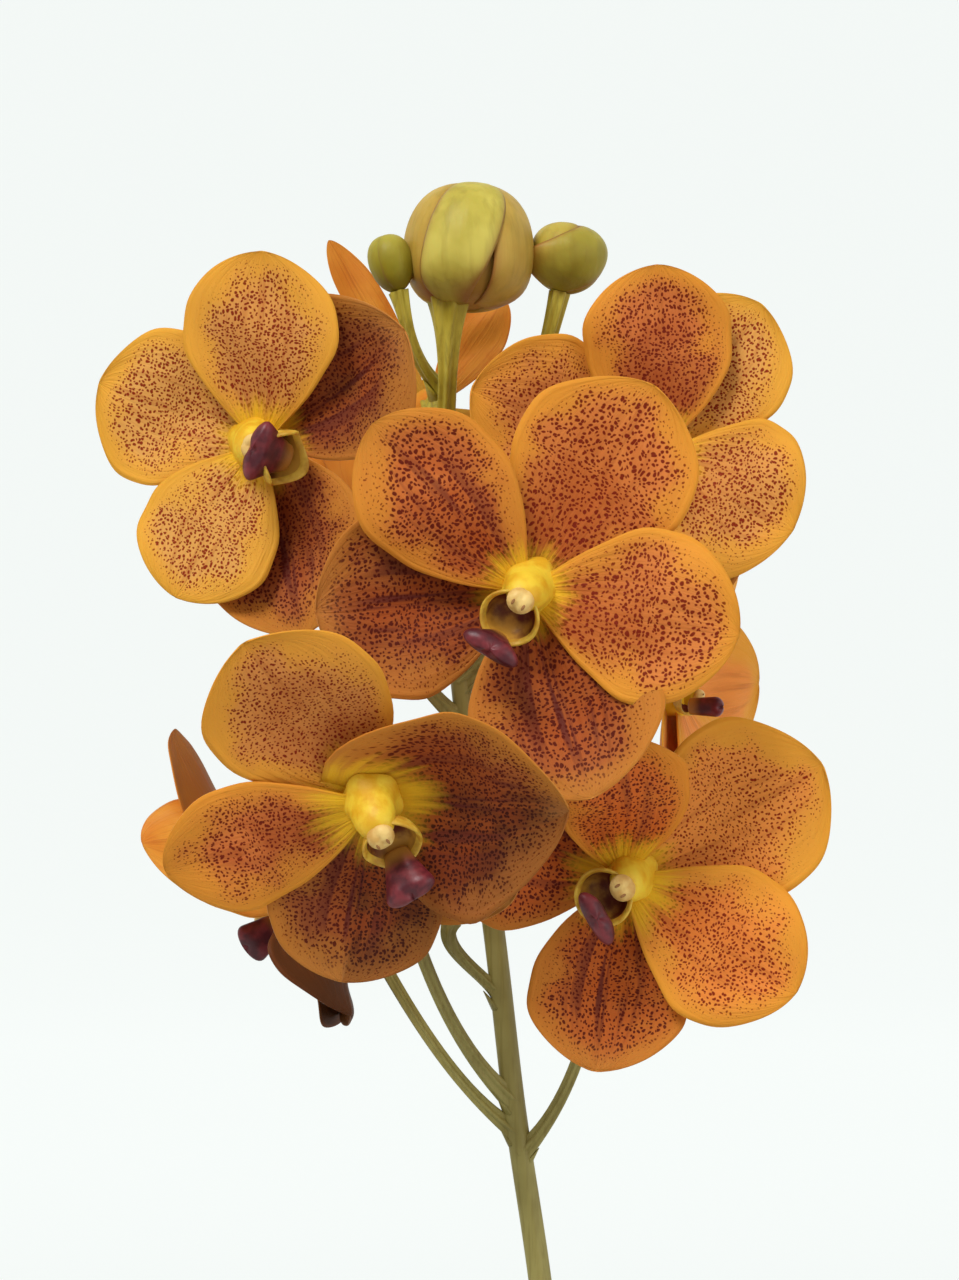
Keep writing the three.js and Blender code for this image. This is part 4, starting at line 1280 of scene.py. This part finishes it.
face_skin = tepal_face()
back_skin = tepal_back()
flowers = zip(BLOOMS, OWN_TONES, WARMTH, SPOT_FINENESS, YELLOW_REACH)
for number, (bloom, tones, warm, fineness, yellow) in enumerate(flowers, 1):
    matrix = bloom_matrix(bloom)
    tepals = []
    for seed, (name, usual) in enumerate(USUAL.items(), 5 * number):
        form = {**usual, **bloom.get(name, {})}
        form["length"] *= bloom.get("size", 1)
        form["width"] *= bloom.get("size", 1)
        shade = tones.get(name, TONES[name])
        tepals.append(make_tepal(form, shade, warm, fineness, yellow, seed, matrix))
    flower = join_pieces([*tepals, make_receptacle(matrix)])
    show(flower, f"bloom_{number}_tepals", "tepal", f"bloom_{number}")


# The column: the yellow pillar in the middle of the flower, nodding forward over the lip, with a cream cap
# over the pollen. The lip's side lobes stand below it as a thin yellow cup, dark red-brown inside, with
# painted shade under the cap and painted light that makes its low wall ochre.
COLUMN_RINGS = [
    (5.3, 2.4),
    (4.7, 3.2),
    (4.2, 4.3),
    (3.9, 5.8),
    (3.7, 7.4),
    (3.4, 9.0),
    (2.8, 10.4),
    (1.7, 11.3),
]
COLUMN_FOOT = 1.2
COLUMN_LEAN = 2.7
CAP_SIZE = (2.8, 2.6, 2.2)
CAP_PLACE = (0, -2.6, 11.0)
PIT_SIZE = (0.3, 0.7, 0.2)
PIT_SIDE = 1.15
PIT_FRONT = -0.9
PIT_RISE = 0.86
CUP_RADIUS = 5.8
CUP_DEPTH = 5.2
CUP_WALL = 0.55
CUP_PLACE = (0, -5, 3.7)
CUP_TILT = 18

# The cup's wall up its outside and down its inside, as shares of its radius and its depth.
CUP_OUTSIDE = [(0.62, 0.06), (0.82, 0.3), (0.93, 0.6), (0.99, 0.85), (1.0, 1.0)]
CUP_INSIDE = [(0.9, 0.75), (0.78, 0.45), (0.6, 0.25), (0.3, 0.2)]


def column_finish():
    finish = Finish("column_yellow", Roughness=0.5, Specular_IOR_Level=0.3, Subsurface_Weight=0.15)
    place = finish.place()
    cloud = finish.noise(place, 260, 3)
    yellow = finish.mottle(cloud, "e2a51e", "f0c436")
    finish.relief(finish.noise(place, 900, 2), 0.00012)
    return finish.paint(yellow)


def cup_finish():
    finish = Finish("cup_ochre", Roughness=0.5, Specular_IOR_Level=0.3, Subsurface_Weight=0.15)
    cloud = finish.noise(finish.place(), 300, 3)
    ochre = finish.mottle(cloud, "bd8624", "e4b742")
    return finish.paint(ochre)


def cap_finish():
    finish = Finish("pollen_cap", Roughness=0.5, Specular_IOR_Level=0.3)
    cloud = finish.noise(finish.place(), 420, 3)
    cream = finish.mix(finish.ease(cloud, 0.35, 0.7), "e9c578", "cc9d52")
    return finish.paint(cream)


def throat_finish():
    finish = Finish("lip_throat", Roughness=0.5, Specular_IOR_Level=0.3)
    cloud = finish.noise(finish.place(), 380, 3)
    # Painted shade, darkest high in the cup under the cap, and painted light on its low wall.
    lit = finish.plus(finish.share("low"), finish.ease(cloud, 0.3, 0.7, -0.15, 0.15))
    return finish.paint(finish.mix(finish.ease(lit, 0.35, 0.9), "5c1c08", "c08a30"))


def slit_finish():
    finish = Finish("cap_marks", Roughness=0.6)
    cloud = finish.noise(finish.place(), 900, 2)
    return finish.paint(finish.mix(cloud, "7a4a1c", "a8743a"))


def make_column():
    """A pillar that flares at its foot over the roots of the tepals, and nods forward at its top."""
    pillar = start_ring(1.15 * COLUMN_RINGS[0][0], COLUMN_FOOT, 40)
    for radius, height in COLUMN_RINGS:
        draw_up(pillar, radius, height)
    bpy.ops.object.mode_set(mode="OBJECT")
    top = COLUMN_RINGS[-1][1]
    for corner in pillar.data.vertices:
        share = max(0, (corner.co.z - COLUMN_FOOT) / (top - COLUMN_FOOT))
        turn = math.atan2(corner.co.x, corner.co.y)
        star = 1 + 0.06 * (1 - share) ** 6 * math.cos(5 * turn)
        corner.co.x *= star * (1 + 0.18 * math.exp(-(((share - 0.5) / 0.3) ** 2)))
        corner.co.y = corner.co.y * star + 0.9 - COLUMN_LEAN * share**1.6
    pillar.data.materials.append(column_skin)
    bpy.ops.object.shade_smooth()
    return [pillar, *make_cap()]


def add_ball(sides, rings):
    bpy.ops.object.select_all(action="DESELECT")
    bpy.ops.mesh.primitive_uv_sphere_add(segments=sides, ring_count=rings, radius=1)
    return bpy.context.object


def make_ball(centre, size, skin, sides):
    ball = add_ball(sides, sides // 2)
    ball.data.transform(Matrix.Translation(centre) @ Matrix.Diagonal((*size, 1)))
    ball.data.materials.append(skin)
    bpy.ops.object.shade_smooth()
    return ball


def make_cap():
    """The cap has a groove down its middle and two small brown marks."""
    cap = make_ball((0, 0, 0), CAP_SIZE, cap_skin, 24)
    for corner in cap.data.vertices:
        corner.co.z -= 0.5 * math.exp(-((corner.co.x / 0.6) ** 2)) * (corner.co.z > 0)
    cap.data.transform(Matrix.Translation(CAP_PLACE))
    pits = []
    for side in (-1, 1):
        centre = Vector(CAP_PLACE) + Vector((side * PIT_SIDE, PIT_FRONT, PIT_RISE * CAP_SIZE[2]))
        pits.append(make_ball(centre, PIT_SIZE, slit_skin, 10))
    return [cap, *pits]


def make_cup(place=CUP_PLACE, tilt=CUP_TILT, ruffle=0.5):
    """The cup goes up its outside, over a ruffled edge and down its inside, which is dark red-brown, with
    painted shade under the cap and painted light on its low wall.
    """
    cup = start_ring(0.3 * CUP_RADIUS, 0, 40)
    for radius, height in CUP_OUTSIDE:
        draw_up(cup, radius * CUP_RADIUS, height * CUP_DEPTH)
    draw_up(cup, CUP_RADIUS - 0.35 * CUP_WALL, CUP_DEPTH + 0.2)
    draw_up(cup, CUP_RADIUS - CUP_WALL, CUP_DEPTH)
    for radius, height in CUP_INSIDE:
        draw_up(cup, radius * (CUP_RADIUS - CUP_WALL), height * CUP_DEPTH)
    bpy.ops.object.mode_set(mode="OBJECT")
    cup.data.materials.append(cup_skin)
    cup.data.materials.append(throat_skin)
    for face in cup.data.polygons:
        inward = face.normal.x * face.center.x + face.normal.y * face.center.y < 0
        low = face.center.z < 0.72 * CUP_DEPTH
        face.material_index = int(low and (inward or face.normal.z > 0.5))
    for corner in cup.data.vertices:
        turn = math.atan2(corner.co.y, corner.co.x)
        corner.co.z += ruffle * (corner.co.z / CUP_DEPTH) * math.sin(3 * turn + 0.6)
        corner.co.x *= 1.06
    mark_points(cup.data, "low", 0.5 - 0.5 * get_points(cup.data)[:, 1] / CUP_RADIUS)
    cup.data.transform(Matrix.Translation(place) @ Matrix.Rotation(math.radians(tilt), 4, "X"))
    bpy.ops.object.shade_smooth()
    return cup


column_skin = column_finish()
cup_skin = cup_finish()
cap_skin = cap_finish()
throat_skin = throat_finish()
slit_skin = slit_finish()
for number, bloom in enumerate(BLOOMS, 1):
    column = join_pieces([*make_column(), make_cup(**bloom.get("cup", {}))])
    column.data.transform(bloom_matrix(bloom) @ Matrix.Scale(bloom.get("column", bloom.get("size", 1)), 4))
    show(column, f"bloom_{number}_column", "column", f"column_{number}")


# The lip's tongue: a thick fleshy bar, glossy and purple-brown, that runs out from the cup and widens to a
# blunt end with a shallow notch. It is a ball drawn out to that shape.
TONGUE_LENGTH = 10
TONGUE_ROOT = 2.2
TONGUE_SPREAD = 4.1
TONGUE_THICK = (2.6, 4.4)
TONGUE_FOOT = (0, -11.2, 4.4)
TONGUE_DROP = 12
TONGUE_BLUNT = 0.26


def lip_finish():
    finish = Finish("lip_tongue", Roughness=0.42, Specular_IOR_Level=0.4)
    place = finish.place()
    along = finish.share("along")
    cloud = finish.noise(place, 320, 3)
    purple = finish.mottle(cloud, "4c121c", "78282e")
    purple = finish.mix(finish.ease(along, 0.1, 0.45, 0.85, 0), purple, "b07a2e")
    finish.relief(cloud, 0.0002)
    return finish.paint(purple)


def make_lip(drop=TONGUE_DROP, foot=TONGUE_FOOT, spread=TONGUE_SPREAD, size=1):
    tongue = add_ball(32, 24)
    ball = get_points(tongue.data)
    along = np.clip((1 + ball[:, 2]) / 2, 0, 1)
    turn = np.arctan2(ball[:, 1], ball[:, 0])
    blunt = np.sqrt(np.clip(1 - np.maximum(0, (along - 1 + TONGUE_BLUNT) / TONGUE_BLUNT) ** 2.4, 0, 1))
    root = np.clip(along / 0.06, 0, 1) ** 0.5
    half = (TONGUE_ROOT + spread * along**1.3) * blunt * root
    thick = between(*TONGUE_THICK, along) / 2 * blunt * root
    across = np.sign(np.cos(turn)) * np.abs(np.cos(turn)) ** 0.9
    deep = np.sin(turn)
    groove = 0.35 * np.exp(-((across / 0.3) ** 2)) * (deep > 0) * along
    notch = 0.9 * np.exp(-((across / 0.35) ** 2)) * along**6
    x = across * half
    y = deep * thick - groove - 0.5 * np.abs(across) ** 2 * along
    z = TONGUE_LENGTH * along - notch
    set_points(tongue.data, np.stack([x, y, z], axis=1))
    tongue.data.transform(Matrix.Rotation(math.radians(drop), 4, "X") @ Matrix.Scale(size, 4))
    tongue.data.transform(Matrix.Translation(foot))
    mark_points(tongue.data, "along", along)
    tongue.data.materials.append(lip_skin)
    bpy.ops.object.shade_smooth()
    return tongue


lip_skin = lip_finish()
for number, bloom in enumerate(BLOOMS, 1):
    lip = make_lip(**bloom.get("tongue", {}))
    lip.data.transform(bloom_matrix(bloom) @ Matrix.Scale(bloom.get("size", 1), 4))
    show(lip, f"bloom_{number}_lip", "lip", f"lip_{number}")


# The buds: plump, closed and waxy. The sepals wrap over each other round a ball, pale yellow-green on the
# big bud's front and orange-brown at its sides, with brown edges. Painted light makes each bud paler
# towards its top, and painted shade darkens the low corners of the big bud's sepals and the third bud's
# beak. Each is a patch with its own thickness.
SEPAL_THICK = 0.9
SEPAL_GRID = (24, 30)

# The sepals of each bud from the front one back, with angles in radians: the way that each faces round the
# bud, how far it leans round on its way up, its half width as an angle and how that grows, how proud it
# stands, how orange-brown it is, how far a beak stands off its left margin, with painted shade on the beak,
# and how much painted shade darkens its low right corner.
BUD_SEPALS = [
    [
        {"facing": -1.66, "lean": 0.85, "spread": 0.6, "proud": 1.07, "corner_shade": 1.3},
        {"facing": -0.3, "lean": 0.2, "spread": 0.85, "proud": 1.02, "warm": 0.6, "corner_shade": 1.3},
        {"facing": -2.95, "lean": 0.5, "spread": 0.75, "proud": 1.0, "warm": 0.55, "corner_shade": 1.3},
        {"facing": 1.2, "lean": 0, "spread": 1.5, "proud": 0.98, "warm": 0.6},
    ],
    [
        {"facing": -1.1, "lean": 0.3, "spread": 1.1, "proud": 1.06},
        {"facing": -2.9, "lean": 0.2, "spread": 1.2, "proud": 1.02},
        {"facing": 1.2, "lean": 0, "spread": 1.3, "proud": 1.0},
    ],
    [
        {"facing": -1.15, "lean": 2.0, "spread": 1.75, "growth": -0.4, "proud": 1.08, "beak": 0.45},
        {"facing": -2.5, "lean": 0.4, "spread": 0.9, "proud": 1.02, "warm": 0.2},
        {"facing": 1.1, "lean": 0, "spread": 2.0, "proud": 1.0, "warm": 0.1},
    ],
]
RIPENESS = [1.0, 0.0, 0.3]


def bud_finish():
    finish = Finish("bud_sepals", Roughness=0.48, Specular_IOR_Level=0.2, Subsurface_Weight=0.1)
    finish.shader.inputs["Subsurface Scale"].default_value = 0.0015
    place = finish.place()
    paleness = finish.share("paleness")
    cloud = finish.noise(place, 90, 3)
    rib = finish.noise(finish.stretched(place, (1, 1, 0.1)), 420, 3)
    young = finish.mottle(cloud, "7c6e18", "96891f")
    old = finish.mottle(cloud, "b6a542", "cbbb56")
    # Young olive to ripe pale yellow-green: each bud's own ripeness, and painted light from above that
    # makes it paler towards its top.
    skin = finish.mix(paleness, young, old)
    # Orange-brown where a sepal is warm in colour, and painted shade on the beak.
    skin = finish.mix(finish.share("warm"), skin, "b88434")
    skin = finish.mix(finish.ease(rib, 0.45, 0.7, 0, 0.3), skin, "87722a")
    # Brown sepal edges and seams, with painted shade at the low corners.
    skin = finish.mix(finish.times(finish.share("seam_and_shade"), 0.75), skin, "8a4a22")
    finish.relief(rib, 0.0003)
    return finish.paint(skin)


def bud_points(bud, turn, t, proud):
    """Points of a bud in the plant's metres: turn goes round it, and t up its side from foot to tip."""
    rise, blunt = bud["swell"]
    swell = np.maximum(np.sin(math.pi * np.clip(t, 0, 1) ** rise), 0) ** blunt
    around = bud["radius"] * swell * proud
    height = bud["length"] * (1 - np.cos(math.pi * t)) / 2
    points = np.stack([around * np.cos(turn), around * np.sin(turn), height], axis=1)
    lean = Vector((0, 0, 1)).rotation_difference(Vector(bud["way"])).to_matrix()
    return (points @ np.array(lean).T + np.array(bud["place"])) * MM


def make_core(bud):
    core = add_ball(48, 32)
    ball = get_points(core.data)
    t = np.arccos(np.clip(-ball[:, 2], -1, 1)) / math.pi
    points = bud_points(bud, np.arctan2(ball[:, 1], ball[:, 0]), t, 0.95)
    set_points(core.data, points)
    core.data.uv_layers[0].name = "marks"
    return core


def make_bud_sepal(bud, facing, lean, spread, proud, warm=0, growth=0.3, beak=0, corner_shade=0):
    grid, across, along = add_grid(*SEPAL_GRID)
    t = between(0.04, 0.985, along)
    turn = facing + lean * (along - 0.5) + across * spread * (0.85 + growth * along)
    shoulder = 0.09 * np.exp(-(((along - 0.24) / 0.14) ** 2)) * np.abs(across) ** 1.5
    hook = beak * np.exp(-(((along - 0.4) / 0.14) ** 2)) * np.clip(-across, 0, 1) ** 3
    bulge = proud + 0.02 * np.exp(-((across / 0.2) ** 2)) - 0.03 * np.abs(across) ** 6 + shoulder + hook
    marks = np.stack([across * bud["radius"], along * bud["length"]], axis=1)
    shape_grid(grid, bud_points(bud, turn, t, bulge), marks, "marks")
    # Painted shade: the low right corner of a sepal, near the bud's foot, darkened brown.
    low_corner_shade = corner_shade * np.exp(-(((along - 0.08) / 0.14) ** 2)) * np.clip(across, 0, 1) ** 0.8
    mark_points(grid.data, "seam_and_shade", np.clip(np.abs(across) ** 9 + low_corner_shade, 0, 1))
    # Painted shade on the beak, in orange-brown.
    mark_points(grid.data, "warm", warm + 2 * hook)
    thicken(grid, SEPAL_THICK * MM, 0.5, 1 - np.abs(across) ** 4)
    return grid


bud_skin = bud_finish()
for number, (bud, sepals, paleness) in enumerate(zip(BUDS, BUD_SEPALS, RIPENESS), 1):
    layers = [make_core(bud)]
    mark_points(layers[0].data, "seam_and_shade", 0.6)
    mark_points(layers[0].data, "warm", 0.5)
    layers += [make_bud_sepal(bud, **sepal) for sepal in sepals]
    body = join_pieces(layers)
    heights = get_points(body.data)[:, 2] / MM - bud["place"][2]
    # Painted light: paler up each bud from its foot to its top, on top of its own ripeness.
    mark_points(body.data, "paleness", np.clip(paleness + 0.6 * heights / bud["length"] - 0.25, 0, 1))
    body.data.materials.append(bud_skin)
    bpy.ops.object.shade_smooth()
    show(body, f"bud_{number}_sepals", "bud", f"bud_{number}")
